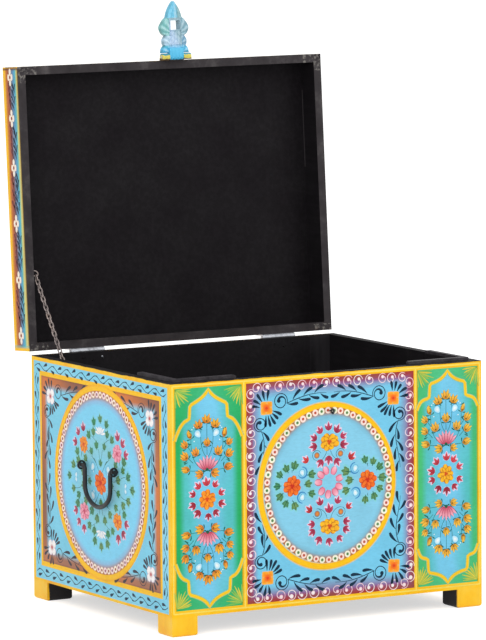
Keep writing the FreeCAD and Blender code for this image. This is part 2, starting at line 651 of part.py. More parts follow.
def bail_path():
    """The middle line of a bail in the YZ plane, from one end round the grip to the other."""
    half, drop = size("bail_width") / 2, size("bail_drop")
    side_radius, grip_radius = size("bail_side_radius"), size("bail_grip_radius")
    bend = size("bail_end_radius")
    end = size("bail_span") / 2 + size("bail_end_proud")
    turn = math.acos((half - side_radius) / (grip_radius - side_radius))
    grip_z = grip_radius - drop
    side_z = grip_z - (grip_radius - side_radius) * math.sin(turn)

    def at(y, z):
        return FreeCAD.Vector(0, y, z)

    def on_side(angle):
        return at(half - side_radius + side_radius * math.cos(angle),
                  side_z - side_radius * math.sin(angle))

    def on_bend(angle):
        return at(half + bend - bend * math.cos(angle), -bend + bend * math.sin(angle))

    def mirrored(point):
        return at(-point.y, point.z)

    one = [Part.LineSegment(at(end, 0), on_bend(math.pi / 2)),
           Part.Arc(on_bend(math.pi / 2), on_bend(math.pi / 4), on_bend(0)),
           Part.LineSegment(on_bend(0), on_side(0)),
           Part.Arc(on_side(0), on_side(turn / 2), on_side(turn))]
    grip = Part.Arc(on_side(turn), at(0, -drop), mirrored(on_side(turn)))
    other = [Part.Arc(mirrored(on_side(turn)), mirrored(on_side(turn / 2)), mirrored(on_side(0))),
             Part.LineSegment(mirrored(on_side(0)), mirrored(on_bend(0))),
             Part.Arc(mirrored(on_bend(0)), mirrored(on_bend(math.pi / 4)),
                      mirrored(on_bend(math.pi / 2))),
             Part.LineSegment(mirrored(on_bend(math.pi / 2)), at(-end, 0))]
    return Part.Wire([edge.toShape() for edge in [*one, grip, *other]])


def pipe(path, start, tangent, radius):
    """A round rod along a path."""
    section = Part.Wire(Part.Circle(start, tangent, radius).toShape())
    return path.makePipeShell([section], True, False)


def make_handle(side, sign):
    """The iron bail and the two eyes that it swings in."""
    x = f"{sign} * (half_width + eye_out)"
    bail = doc.addObject("Part::Feature", f"bail_{side}")
    path = bail_path()
    start = path.OrderedVertexes[0].Point
    bail.Shape = pipe(path, start, FreeCAD.Vector(0, 1, 0), size("bail_rod"))
    put(bail, (x, "handle_y", "handle_z"))
    node(f"handle_bail_{side}", bail)

    eyes = []
    for end, way in (("front", "-1"), ("rear", "1")):
        y = f"handle_y + {way} * bail_span / 2"
        loop = ring(f"eye_{side}_{end}_loop", (x, y, "handle_z"), "x", "90", "eye_ring", "eye_rod")
        shank = rod(f"eye_{side}_{end}_shank",
                    (f"{sign} * (half_width + eye_out - eye_ring)", y, "handle_z"),
                    (-float(sign), 0, 0), "eye_rod", "eye_out - eye_ring + eye_bite")
        eyes.append(fuse(f"eye_{side}_{end}", [loop, shank]))
    return node(f"handle_eyes_{side}", bundle(f"eyes_{side}", eyes))


def make_box_hook():
    """The chain's lower eye, screwed into the left side panel."""
    loop = ring("box_hook_loop", ("hook_x", "lower_y", "lower_z"), "x", "90 - chain_lean",
                "hook_ring", "hook_rod")
    shank = rod("box_hook_shank", ("hook_x - hook_ring", "lower_y", "lower_z"), (-1, 0, 0),
                "hook_rod", "hook_rod + hook_stand + hook_bite")
    return node("chain_eye_box", fuse("box_hook_solid", [loop, shank]))


def make_lid_hook():
    """The chain's upper eye, screwed into the lid's left rail and drawn where it is when open."""
    loop = ring("lid_hook_loop", ("hook_x", "upper_y", "upper_z"), "x", "90 - chain_lean",
                "hook_ring", "hook_rod")
    shank = rod("lid_hook_shank", ("hook_x - hook_ring", "upper_y", "upper_z"), (-1, 0, 0),
                "hook_rod", "hook_x - hook_ring + half_width - lid_rail + hook_bite")
    node("chain_eye_lid", fuse("lid_hook_solid", [loop, shank]))


def chain_link(length, radius, bow):
    """One link along Z, its first bow at the origin, in the YZ plane."""
    straight = length - 2 * bow

    def at(y, z):
        return FreeCAD.Vector(0, y, z)

    path = Part.Wire([Part.LineSegment(at(bow, bow), at(bow, bow + straight)).toShape(),
                      Part.Arc(at(bow, bow + straight), at(0, length),
                               at(-bow, bow + straight)).toShape(),
                      Part.LineSegment(at(-bow, bow + straight), at(-bow, bow)).toShape(),
                      Part.Arc(at(-bow, bow), at(0, 0), at(bow, bow)).toShape()])
    return pipe(path, at(bow, bow), FreeCAD.Vector(0, 0, 1), radius)


def make_chain():
    """The taut stay: an odd number of links, each a quarter turn on from the last."""
    radius, bow, slack = size("chain_rod"), size("chain_bow"), size("chain_slack")
    low = FreeCAD.Vector(size("hook_x"), size("lower_y"), size("lower_z"))
    high = FreeCAD.Vector(size("hook_x"), size("upper_y"), size("upper_z"))
    inset = size("hook_ring") - size("hook_rod") - radius - slack
    reach = (high - low).Length - 2 * inset
    overlap = 2 * radius + slack
    wanted = size("chain_link") - 2 * radius
    pairs = round(((reach - overlap) / (wanted - overlap) - 1) / 2)
    count = 2 * pairs + 1
    length = (reach + (count - 1) * overlap) / count
    link = chain_link(length, radius, bow)
    lean = FreeCAD.Rotation(FreeCAD.Vector(1, 0, 0), -size("chain_lean"))
    along = lean.multVec(FreeCAD.Vector(0, 0, 1))
    links = []
    for n in range(count):
        turned = link.copy()
        quarter = FreeCAD.Rotation(FreeCAD.Vector(0, 0, 1), 90 * (n % 2))
        start = low + along * (inset + n * (length - overlap))
        turned.Placement = FreeCAD.Placement(start, lean.multiply(quarter))
        links.append(turned)
    chain = doc.addObject("Part::Feature", "chain_links")
    chain.Shape = Part.makeCompound(links)
    node("chain", chain)
    print("chain links", count, "link length", round(length + 2 * radius, 2),
          "chain length", round(reach, 1))


def check_cuts():
    """Compares what each cut took away with what it should have."""
    for item in doc.Objects:
        if item.TypeId == "Part::Cut":
            before, after = item.Base.Shape.Volume, item.Shape.Volume
            print("cut", item.Label, "took", round(before - after, 1), "of", round(before, 1))
            if after >= before:
                raise RuntimeError(item.Label + " cuts nothing")


def check_model():
    for item in doc.Objects:
        if "Invalid" in item.State or "Error" in item.State:
            raise RuntimeError(item.Label + " failed")
    for item in nodes:
        if item.Shape.isNull() or not item.Shape.isValid():
            raise RuntimeError(item.Label + " has no sound shape")


def write_parts():
    os.makedirs("parts", exist_ok=True)
    for item in nodes:
        item.Shape.exportStep(f"parts/{item.Label}.step")
        print("node", item.Label, "solids", len(item.Shape.Solids))
    print("nodes", len(nodes))


fill_sheet()
make_box()
make_lid()
make_hasp()
make_lid_hook()
make_chain()
doc.recompute()
check_model()
check_cuts()
write_parts()
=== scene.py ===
import json
import math
import random

import bpy
import numpy as np
from mathutils import Matrix, Vector
from mathutils.geometry import delaunay_2d_cdt


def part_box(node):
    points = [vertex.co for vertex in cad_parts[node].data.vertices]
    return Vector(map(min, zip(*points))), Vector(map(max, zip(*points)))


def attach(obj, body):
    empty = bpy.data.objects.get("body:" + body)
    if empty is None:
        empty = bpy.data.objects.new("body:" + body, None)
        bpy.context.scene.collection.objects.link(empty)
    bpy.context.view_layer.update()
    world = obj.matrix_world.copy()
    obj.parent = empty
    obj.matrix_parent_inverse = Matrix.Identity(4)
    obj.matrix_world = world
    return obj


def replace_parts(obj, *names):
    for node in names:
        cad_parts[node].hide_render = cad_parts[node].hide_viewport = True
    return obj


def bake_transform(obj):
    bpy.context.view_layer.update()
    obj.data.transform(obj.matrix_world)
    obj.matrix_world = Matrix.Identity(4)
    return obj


# The looks of a painted wooden dowry chest. Blender works in metres; the painted motifs are drawn in
# millimetres on canvases that lie on the chest's faces.
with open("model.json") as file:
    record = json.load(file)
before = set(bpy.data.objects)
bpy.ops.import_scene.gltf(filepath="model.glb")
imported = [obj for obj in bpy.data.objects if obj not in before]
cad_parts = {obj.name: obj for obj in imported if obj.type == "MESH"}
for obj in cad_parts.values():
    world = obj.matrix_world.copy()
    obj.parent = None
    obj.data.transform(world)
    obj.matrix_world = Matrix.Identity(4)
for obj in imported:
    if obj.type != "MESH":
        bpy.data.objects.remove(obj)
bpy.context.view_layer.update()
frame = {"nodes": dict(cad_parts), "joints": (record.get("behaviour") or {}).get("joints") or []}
MM = 0.001
rng = random.Random(11)

# Places that follow from the frame
front_low, front_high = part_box("front_panel")
half_width = front_high.x
rim_z, base_z = front_high.z, front_low.z
front_y, back_y = front_low.y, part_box("back_panel")[1].y
middle_y = (front_y + back_y) / 2
joints = {joint["name"]: joint for joint in frame["joints"]}
hinge = Vector(joints["lid_hinge"]["pos_m"])
open_angle = math.radians(joints["lid_hinge"]["range_deg"][1])
lid_up = Vector((0, -math.cos(open_angle), math.sin(open_angle)))
lid_out = Vector((0, math.sin(open_angle), math.cos(open_angle)))
knuckle = hinge.y - back_y
lid_depth = back_y - front_y
lid_end = hinge.dot(lid_up) + knuckle + lid_depth
lid_seat = hinge.dot(lid_out)
lid_face = hinge + lid_up * (lid_depth + knuckle)
lid_thickness = 46.5 * MM
lid_rim = 0.5 * MM
hasp_pivot = Vector(joints["hasp_swing"]["pos_m"])
X, Y, Z = Vector((1, 0, 0)), Vector((0, 1, 0)), Vector((0, 0, 1))
PANEL_BOTTOM, PANEL_TOP = base_z / MM + 9, rim_z / MM - 7
LID_FLOWERS = (26, 105.5, 186, 265.5, 336, 394.5)
HASP_GAP = (-24, 29)
WAVE_LENGTH, CURL_SPACING, EDGE_LEAF_SPACING = 21.5, 17.6, 8.5
BARE_SCREW = (-146 * MM, -139 * MM)
LOOK_HEIGHT = 0.35
CORNERS = [(way_u, way_v) for way_u in (-1, 1) for way_v in (-1, 1)]


def paint(red, green, blue):
    """A written colour, 0 to 255, as Blender's linear one."""
    def linear(value):
        value /= 255
        return value / 12.92 if value <= 0.04045 else ((value + 0.055) / 1.055) ** 2.4
    return (linear(red), linear(green), linear(blue), 1.0)


def between(first, last, share):
    return tuple(a + (b - a) * share for a, b in zip(first, last))


def blended(first, last, share):
    return between(first, last, min(max(share, 0.0), 1.0))


YELLOW, YELLOW_DEEP, YELLOW_PALE = paint(253, 196, 22), paint(242, 158, 12), paint(246, 218, 96)
SKY, SKY_DEEP, SKY_PALE = paint(118, 200, 232), paint(84, 172, 214), paint(164, 226, 244)
GREEN, GREEN_SOFT, TEAL = paint(24, 168, 92), paint(88, 196, 150), paint(84, 190, 190)
OLIVE, OLIVE_DARK = paint(170, 160, 30), paint(116, 92, 28)
MAROON, PLUM, MAUVE = paint(152, 46, 42), paint(140, 104, 158), paint(150, 150, 190)
NAVY, NAVY_SOFT = paint(4, 42, 64), paint(28, 84, 108)
PINK, PINK_PALE, PINK_DEEP = paint(238, 130, 156), paint(252, 190, 206), paint(196, 72, 100)
ORANGE, ORANGE_PALE, ORANGE_RED = paint(250, 130, 34), paint(253, 178, 48), paint(226, 70, 28)
WHITE, CREAM = paint(250, 246, 244), paint(250, 230, 204)
LEAF, LEAF_DARK, LEAF_HALO = paint(66, 146, 100), paint(26, 90, 66), paint(140, 212, 200)
WINE, WINE_DARK, WINE_HALO = paint(178, 50, 66), paint(116, 26, 48), paint(226, 206, 228)
BROWN, BROWN_DARK = paint(176, 92, 44), paint(92, 50, 26)
WINE_LEAF = (WINE_DARK, paint(206, 70, 104), WINE_HALO)
RED_LEAF = (WINE_DARK, paint(232, 70, 62), WINE_HALO)
GREEN_LEAF = (LEAF_DARK, LEAF, LEAF_HALO)
ORANGE_TONES = (paint(196, 84, 20), ORANGE_PALE, ORANGE)
RED_TONES = (paint(190, 52, 16), paint(252, 140, 44), paint(240, 92, 34))
GOLD_TONES = (paint(170, 96, 20), YELLOW, ORANGE_PALE)
PINK_TONES = (PINK_DEEP, PINK_PALE, PINK)


# Outlines in a unit square, their tips along +y

def unit_ring(count, across, along):
    """A closed outline from two functions of the angle."""
    angles = [2 * math.pi * n / count for n in range(count)]
    return [(across(a), along(a)) for a in angles]


def squared(a):
    return 2 * max(abs(math.sin(a)), abs(math.cos(a))) ** 0.7


ROUND = unit_ring(14, lambda a: math.sin(a) / 2, lambda a: math.cos(a) / 2)
EGG = unit_ring(14, lambda a: math.sin(a) * (0.45 + 0.14 * math.cos(a)), lambda a: math.cos(a) / 2)
SQUARE = unit_ring(16, lambda a: math.sin(a) / squared(a), lambda a: math.cos(a) / squared(a))
half_leaf = [(0.0, 0.56), (0.13, 0.4), (0.2, 0.22), (0.36, 0.29), (0.48, 0.2), (0.45, 0.0), (0.36, -0.16),
             (0.34, -0.32), (0.13, -0.42)]
LOBED = half_leaf + [(-x, y) for x, y in half_leaf[:0:-1]]


def heading(angle):
    return math.cos(math.radians(angle)), math.sin(math.radians(angle))


def bearing(across, up):
    return math.degrees(math.atan2(up, across))


def from_centre(centre, angle, distance):
    c, s = heading(angle)
    return centre[0] + c * distance, centre[1] + s * distance


def arc(centre, radius, start, end, count, growth=0.0):
    """Points on an arc or, with growth in its radius, on a spiral."""
    return [from_centre(centre, start + (end - start) * n / count, radius + growth * n / count)
            for n in range(count + 1)]


def bezier(start, first, last, end, count):
    points = []
    for n in range(count + 1):
        t = n / count
        a, b, c, d = (1 - t) ** 3, 3 * t * (1 - t) ** 2, 3 * t * t * (1 - t), t ** 3
        points.append(tuple(a * p + b * q + c * r + d * s
                            for p, q, r, s in zip(start, first, last, end)))
    return points


def ellipse(centre, across, up, count):
    return [(centre[0] + across * math.sin(2 * math.pi * n / count),
             centre[1] + up * math.cos(2 * math.pi * n / count)) for n in range(count)]


def swelling(count, width, start=0.15, end=0.05):
    """Half widths of a stroke that swells and ends thin."""
    return [width / 2 * max(math.sin(math.pi * (start + (1 - start - end) * n / count)) ** 0.8, 0.15)
            for n in range(count + 1)]


def strip(first, last, count, closed=True):
    """Faces between two rows of corners, given by the numbers of their first ones."""
    return [(first + n, first + (n + 1) % count, last + (n + 1) % count, last + n)
            for n in range(count if closed else count - 1)]


def wobble(amount):
    return rng.uniform(-amount, amount)


class Spot:
    """A place whose surroundings can be mirrored across and up, and scaled in height."""

    def __init__(self, place, side=1, way=1, scale=1.0):
        self.place, self.side, self.way, self.scale = place, side, way, scale

    def at(self, u, v):
        return self.place[0] + self.side * u, self.place[1] + self.way * self.scale * v

    def aim(self, angle):
        c, s = heading(angle)
        return bearing(self.side * c, self.way * s)

    def to(self, u, v, angle):
        return self.at(u, v), self.aim(angle)

    def curve(self, places, count=8):
        return bezier(*(self.at(u, v) for u, v in places), count)


def placed(name, data):
    """A new object in the scene."""
    item = bpy.data.objects.new(name, data)
    bpy.context.scene.collection.objects.link(item)
    return item


class Canvas:
    """Paint on one flat face: u runs across it, v up it and h out of it, in millimetres.

    Each motif lies some layers above lift, the canvas's present base layer."""

    STEP, DOME, SUNK, INSET = 0.035, 0.02, -0.05, 0.93

    def __init__(self, origin, across, up, out):
        self.origin, self.across, self.up, self.out = (Vector(v) for v in (origin, across, up, out))
        self.flip = self.across.cross(self.up).dot(self.out) < 0
        self.points, self.colours, self.faces = [], [], []
        self.lift = 1

    def height(self, layer):
        return self.STEP * (self.lift + layer)

    def add(self, points, colours, faces):
        start = len(self.points)
        for u, v, h in points:
            self.points.append(self.origin + (self.across * u + self.up * v + self.out * h) * MM)
        self.colours += colours
        for face in faces:
            face = [start + corner for corner in face]
            self.faces.append(face[::-1] if self.flip else face)

    def pad(self, shape, centre, angle, width, length, rim, mid=None, layer=0.0):
        """A filled unit outline with its tip towards an angle, sloping down to the wood at its edge."""
        c, s = heading(angle)
        outline = [(centre[0] + x * width * s + y * length * c, centre[1] - x * width * c + y * length * s)
                   for x, y in shape]
        area = sum(a[0] * b[1] - b[0] * a[1] for a, b in zip(outline, outline[1:] + outline[:1]))
        outline = outline if area > 0 else outline[::-1]
        count = len(outline)
        cu, cv = (sum(values) / count for values in zip(*outline))
        top = self.height(layer)
        points = [(u, v, self.SUNK) for u, v in outline]
        points += [(cu + (u - cu) * self.INSET, cv + (v - cv) * self.INSET, top) for u, v in outline]
        points.append((cu, cv, top + self.DOME))
        fan = [(count + n, count + (n + 1) % count, 2 * count) for n in range(count)]
        self.add(points, [rim] * (2 * count) + [mid or rim], strip(0, count, count) + fan)

    def stroke(self, path, widths, colour, last=None, edge=None, closed=False, layer=0.0):
        """A brush stroke along a path; widths are half widths, one for each point or one for all."""
        count = len(path)
        widths = widths if isinstance(widths, list) else [widths] * count
        top = self.height(layer)
        profile = [(-1, self.SUNK), (-0.86, top), (0.86, top), (1, self.SUNK)]
        if edge:
            profile[1:3] = [(-0.9, top), (-0.5, top), (0.5, top), (0.9, top)]
        across = len(profile)
        points, colours, faces = [], [], []
        for n, (u, v) in enumerate(path):
            before = path[n - 1] if closed or n else path[n]
            after = path[(n + 1) % count] if closed or n < count - 1 else path[n]
            du, dv = after[0] - before[0], after[1] - before[1]
            length = math.hypot(du, dv) or 1.0
            nu, nv = -dv / length, du / length
            tone = blended(colour, last or colour, n / max(count - 1, 1))
            for side, height in profile:
                points.append((u + nu * widths[n] * side, v + nv * widths[n] * side, height))
                colours.append(edge if edge and abs(side) > 0.5 else tone)
        for n in range(count if closed else count - 1):
            faces += strip(across * n, across * ((n + 1) % count), across, False)
        if not closed:
            faces += [tuple(range(across)), tuple(across * count - 1 - k for k in range(across))]
        self.add(points, colours, faces)

    def field(self, low, high, colour, step=500.0):
        """A rectangle of one colour, or of one that follows a function of place."""
        marks = []
        for first, last, one in zip(low, high, step if isinstance(step, tuple) else (step, step)):
            count = max(round((last - first) / one), 1)
            marks.append([first] + [first + (last - first) * n / count for n in range(count + 1)] + [last])
        us, vs = marks
        points, colours, faces = [], [], []
        for j, v in enumerate(vs):
            for i, u in enumerate(us):
                edge = i in (0, len(us) - 1) or j in (0, len(vs) - 1)
                points.append((u, v, self.SUNK if edge else self.height(0)))
                colours.append(colour(u, v) if callable(colour) else colour)
        for j in range(len(vs) - 1):
            faces += strip(j * len(us), (j + 1) * len(us), len(us), False)
        self.add(points, colours, faces)

    def disc(self, centre, across, up, colour, rings=18, count=96):
        """An oval whose colour follows the share of its radius."""
        top = self.height(0)
        points, colours = [(*centre, top)], [colour(0.0)]
        faces = [(0, 1 + n, 1 + (n + 1) % count) for n in range(count)]
        shares = [(n / rings, top) for n in range(1, rings + 1)] + [(1.0, self.SUNK)]
        for share, height in shares:
            for u, v in ellipse(centre, across * share, up * share, count)[::-1]:
                points.append((u, v, height))
                colours.append(colour(share))
        for ring in range(len(shares) - 1):
            faces += strip(1 + (ring + 1) * count, 1 + ring * count, count)
        self.add(points, colours, faces)

    def piece(self, name, body, material):
        """A mesh that carries its paint in a colour attribute and rides on a body."""
        mesh = bpy.data.meshes.new(name)
        mesh.from_pydata(self.points, [], self.faces)
        layer = mesh.color_attributes.new("paint", "FLOAT_COLOR", "POINT")
        layer.data.foreach_set("color", np.array(self.colours, dtype=np.float32).ravel())
        mesh.materials.append(material)
        mesh.update()
        item = placed(name, mesh)
        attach(item, body)
        return item


# Motifs

def dot(canvas, centre, size, rim, mid=None, layer=0.0):
    canvas.pad(ROUND, centre, 90, size, size, rim, mid, layer)


POINTED = (0.15, 0.62, 0.92, 1.0, 0.84, 0.5, 0.08)
ROUNDED = (0.5, 0.8, 0.96, 1.0, 0.96, 0.78, 0.36)


def petal(canvas, foot, angle, length, width, tones, layer=0.0, shares=POINTED):
    """A petal that turns from its foot's colour to its tip's, with a dark edge."""
    edge, root, tip = tones
    path = [from_centre(foot, angle, length * n / 6) for n in range(7)]
    canvas.stroke(path, [width / 2 * share for share in shares], root, tip, edge, layer=layer)


def leaf(canvas, centre, angle, size, tones):
    """A lobed leaf with a soft halo and a vein."""
    dark, light, halo = tones
    angle += wobble(12)
    size *= 1 + wobble(0.1)
    fresh = blended(light, paint(150, 176, 96), rng.random() * 0.7)
    canvas.pad(LOBED, centre, angle, size * 1.5, size * 1.4, blended(halo, SKY, 0.5), halo)
    canvas.pad(LOBED, centre, angle, size, size, blended(dark, fresh, 0.3), fresh, 1)
    ends = from_centre(centre, angle + 180, size * 0.56), centre, from_centre(centre, angle, size * 0.42)
    canvas.stroke(list(ends), [size * 0.05, size * 0.045, size * 0.012], dark, layer=2)


def sprig(canvas, centre, angle, size, tones):
    """Three small pointed petals in a pale outline."""
    dark, light, halo = tones
    angle += wobble(10)
    size *= 1 + wobble(0.1)
    canvas.pad(LOBED, centre, angle, size * 1.14, size * 1.2, halo)
    foot = from_centre(centre, angle + 180, size * 0.46)
    tones = (dark, blended(dark, light, 0.3 + wobble(0.3)), light)
    for n, (spread, reach) in enumerate(((-38, 0.74), (38, 0.74), (0, 0.96))):
        petal(canvas, foot, angle + spread, size * reach, size * 0.36, tones, 1 + 0.4 * n)


def rose(canvas, centre, radius, tones, heart=ORANGE_RED, layer=0.0, flat=1.0):
    """A round flower of two rings of broad petals about a small heart."""
    edge, tip, root = tones
    canvas.pad(ROUND, centre, 90, radius * 1.5, radius * 1.5 * flat, edge, None, layer)
    turn = rng.uniform(0, 60)
    for count, foot, long, wide, step in ((8, 0.3, 0.76, 0.74, 0.4), (6, 0.08, 0.6, 0.52, 4.0)):
        for n in range(count):
            angle = turn + 360 * (n + 0.25 * step) / count + wobble(9)
            c, s = heading(angle)
            shade = rng.random()
            start = (centre[0] + radius * foot * c, centre[1] + radius * foot * s * flat)
            length = radius * long * (1 + wobble(0.12)) * math.hypot(c, s * flat)
            petal(canvas, start, bearing(c, s * flat), length, radius * wide,
                  (edge, blended(root, edge, shade * 0.4), blended(tip, root, shade * 0.6)),
                  layer + step + 0.4 * n, ROUNDED)
    for n in range(3):
        dot(canvas, from_centre(centre, turn + 120 * n, radius * 0.14), radius * 0.26, heart, edge, layer + 7)


def bud(canvas, centre, angle, size, slim, gold):
    """A bud of pointed petals that open from its foot, with two sepals."""
    angle += wobble(9)
    size *= 1.03 + wobble(0.1)
    foot = from_centre(centre, angle + 180, size * 0.5)
    for side in (-1, 1):
        comma(canvas, foot, angle + side * 80, size * 0.5, size * 0.12, LEAF_DARK, 1, -45 * side)
    for n, (spread, reach) in enumerate(((-44, 0.74), (44, 0.78), (-15, 0.96), (17, 0.9))):
        warm = rng.random()
        root = blended(blended(paint(238, 120, 30), paint(216, 80, 44), warm), paint(222, 150, 40), gold)
        tip = blended(blended(paint(252, 208, 64), paint(246, 160, 60), warm), paint(252, 214, 84), gold)
        petal(canvas, foot, angle + spread * slim, size * reach, size * 0.42, (OLIVE_DARK, root, tip),
              1 + 0.45 * n)
    dot(canvas, from_centre(foot, angle, size * 0.2), size * 0.2, OLIVE_DARK, layer=3.2)


def comma(canvas, root, angle, length, width, colour, layer=0.0, bend=0.0):
    """A brush stroke that starts thin, bends and ends full and round."""
    path = [root]
    for n in range(6):
        path.append(from_centre(path[-1], angle + bend * (n / 5 - 0.5), length / 6))
    shares = (0.14, 0.34, 0.6, 0.82, 0.97, 1.0, 0.62)
    canvas.stroke(path, [width / 2 * share for share in shares], colour, layer=layer)


def corner_flower(canvas, centre, size, shape, tones):
    """Four broad petals about a soft heart."""
    edge, rim, mid, heart = tones
    for n in range(4):
        angle = 45 + 90 * n + wobble(4)
        middle = from_centre(centre, angle, size * (0.29 if shape is SQUARE else 0.3))
        across = size * (0.54 if shape is SQUARE else 0.6)
        height = 2 + 0.45 * n
        turn = angle + 45 if shape is SQUARE else angle
        canvas.pad(shape, middle, turn, across + 1.2, across + 1.2, edge, None, height)
        canvas.pad(shape, middle, turn, across, across, rim, mid, height + 0.2)
    dot(canvas, centre, size * 0.6, mid, heart, 4.4)
    dot(canvas, centre, size * 0.22, heart, heart, 5.2)


def cross_flower(canvas, centre):
    """A white flower of four round petals about a dark heart."""
    size, heart = 18, blended(MAROON, BROWN, 0.5)
    for n, (reach, wide) in enumerate(((0.9, 0.6), (1.45, 0.38)) * 2):
        middle = from_centre(centre, 90 * n, size * 0.26 * reach)
        canvas.pad(EGG, middle, 90 * n, size * wide, size * 0.46 * reach, CREAM, WHITE, 2 + 0.4 * n)
    dot(canvas, centre, size * 0.3, heart, blended(heart, BROWN_DARK, 0.6), 4.4)


def lotus(canvas, centre, angle):
    """A cup of pointed petals, crimson at its foot and pink at their tips."""
    width, height = 25, 20
    foot = from_centre(centre, angle + 180, height * 0.5)
    crimson, edge = paint(196, 40, 72), paint(160, 56, 92)
    for n, spread in enumerate((50, -50, 33, -33, 16, -16, 0)):
        root = from_centre(foot, angle - 90, -spread / 50 * width * 0.14)
        petal(canvas, root, angle + spread, height * (1 - 0.12 * abs(spread) / 50), width * 0.27,
              (edge, crimson, PINK_PALE), 1.5 + 0.45 * n)
    for side in (-1, 1):
        comma(canvas, foot, angle + 180 + side * 60, 6, 2.0, LEAF_DARK, 4.9)
    dot(canvas, foot, width * 0.2, LEAF_DARK, layer=5.1)


def bulb(canvas, centre, angle, size):
    """A white and blue bulb with a blue line round it."""
    canvas.pad(EGG, centre, angle, size * 0.98, size * 1.1, SKY_DEEP, layer=1)
    canvas.pad(EGG, centre, angle, size * 0.8, size * 0.94, SKY_PALE, WHITE, 2)


def rays(canvas, centre, angles, length, colour):
    """Strokes that spread from a point and end full."""
    for angle in angles:
        comma(canvas, from_centre(centre, angle, 10.5), angle, length * (1 + wobble(0.12)), 4.9, colour,
              0, wobble(25))


def scroll(canvas, centre, radius, start, way, colour):
    """A thin spiral that ends in a heavy comma."""
    path = arc(centre, radius, start, start + way * 300, 18, -radius * 0.08)
    path += arc(centre, radius * 0.92, start + way * 300, start + way * 560, 14, -radius * 0.6)[1:]
    widths = swelling(32, 1.5, 0.3, 0.4)
    for n in range(23, 33):
        widths[n] += (n - 23) * 0.2
    canvas.stroke(path, widths, colour)
    dot(canvas, path[-1], radius * 0.58, colour, layer=1)


def feather(canvas, path, colour, side):
    """A thin stem with long leaves on both sides, which lie nearly along it."""
    count, leaves, size = len(path) - 1, 7, 18.5
    canvas.stroke(path, swelling(count, 1.3, 0.35, 0.1), colour, layer=0.5)
    for n in range(leaves):
        place = (n + 0.1) / leaves * count
        k = min(int(place), count - 1)
        root = between(path[k], path[k + 1], place - k)
        along = bearing(path[k + 1][0] - path[k][0], path[k + 1][1] - path[k][1])
        side = -side
        length = size * (1.0 - 0.15 * n / leaves) * (1 + wobble(0.12))
        root = from_centre(root, along + 90 * side, 1.0)
        comma(canvas, root, along + side * (24 + wobble(6)), length, size * 0.27, colour, 1,
              -side * 30)


def wave_border(canvas, start, end):
    """A wavy vine with a heavy leaf in each bend."""
    amplitude = 4.2
    along = bearing(end[0] - start[0], end[1] - start[1])
    bends = max(round(math.dist(start, end) / WAVE_LENGTH), 2)
    count = bends * 6
    path = [from_centre(between(start, end, n / count), along + 90,
                        amplitude * math.sin(math.pi * bends * n / count)) for n in range(count + 1)]
    canvas.stroke(path, 0.62, NAVY)
    for n in range(bends):
        side = 1 if n % 2 else -1
        base = between(start, end, (n + 0.5) / bends)
        root = from_centre(from_centre(base, along, -5.5), along + 90 * side, amplitude * 0.3)
        comma(canvas, root, along + 14 * side + wobble(8), 11.5, 4.8, NAVY, 1, -24 * side)
        root = from_centre(from_centre(base, along, -1.0), along - 90 * side, amplitude)
        comma(canvas, root, along + 8 * side, 7, 2.2, NAVY, 1, 26 * side)


def beads(canvas, centre, across, up, count, hearts):
    """A ring of pale beads whose hearts, and tints, take turns."""
    size = 10.2
    for n, place in enumerate(ellipse(centre, across, up, count)):
        place = (place[0] + wobble(0.3), place[1] + wobble(0.3))
        tint, heart = hearts[n % len(hearts)]
        dot(canvas, place, size * (1 + wobble(0.05)), tint, WHITE)
        dot(canvas, place, size * 0.44, heart, blended(heart, BROWN_DARK, 0.25), 1)


def edge_curls(canvas, start, end, way):
    """A row of pale spirals that end in white dots."""
    count, size = round(math.dist(start, end) / CURL_SPACING), 12.5
    for n in range(count):
        place = between(start, end, (n + 0.5 + wobble(0.08)) / count)
        place = from_centre(place, way, wobble(0.9))
        tint = blended(WHITE, PINK_PALE, rng.random())
        begin, radius = way + wobble(60), size * (0.57 + wobble(0.06))
        path = arc(place, radius, begin, begin + 250, 12, -radius * 0.1)
        path += arc(place, radius * 0.9, begin + 250, begin + 400, 8, -radius * 0.62)[1:]
        canvas.stroke(path, swelling(20, 1.3, 0.25, 0.45), blended(tint, MAROON, 0.16),
                      blended(tint, WHITE, 0.5))
        dot(canvas, path[-1], size * (0.46 + wobble(0.08)), blended(tint, MAROON, 0.15), WHITE, 1)


# The chest's painted faces

def arch_half(tip, shoulder, side, drop):
    """Half of a cusped arch, from its cusp to the panel's edge, as offsets from the middle line."""
    neck = 23 + 0.2 * drop
    return (bezier((0, tip), (6, tip - 10), (15, tip - 14), (shoulder - 3, tip - neck + 17), 6)
            + bezier((shoulder - 0.6, tip - neck + 14), (shoulder, tip - neck + 9),
                     (shoulder, tip - neck + 4), (shoulder + 0.6, tip - neck - 2), 3)
            + bezier((shoulder + 4, tip - neck - 4), (shoulder + 12, tip - neck - 6),
                     (side - 5, tip - drop + 13), (side, tip - drop), 6))


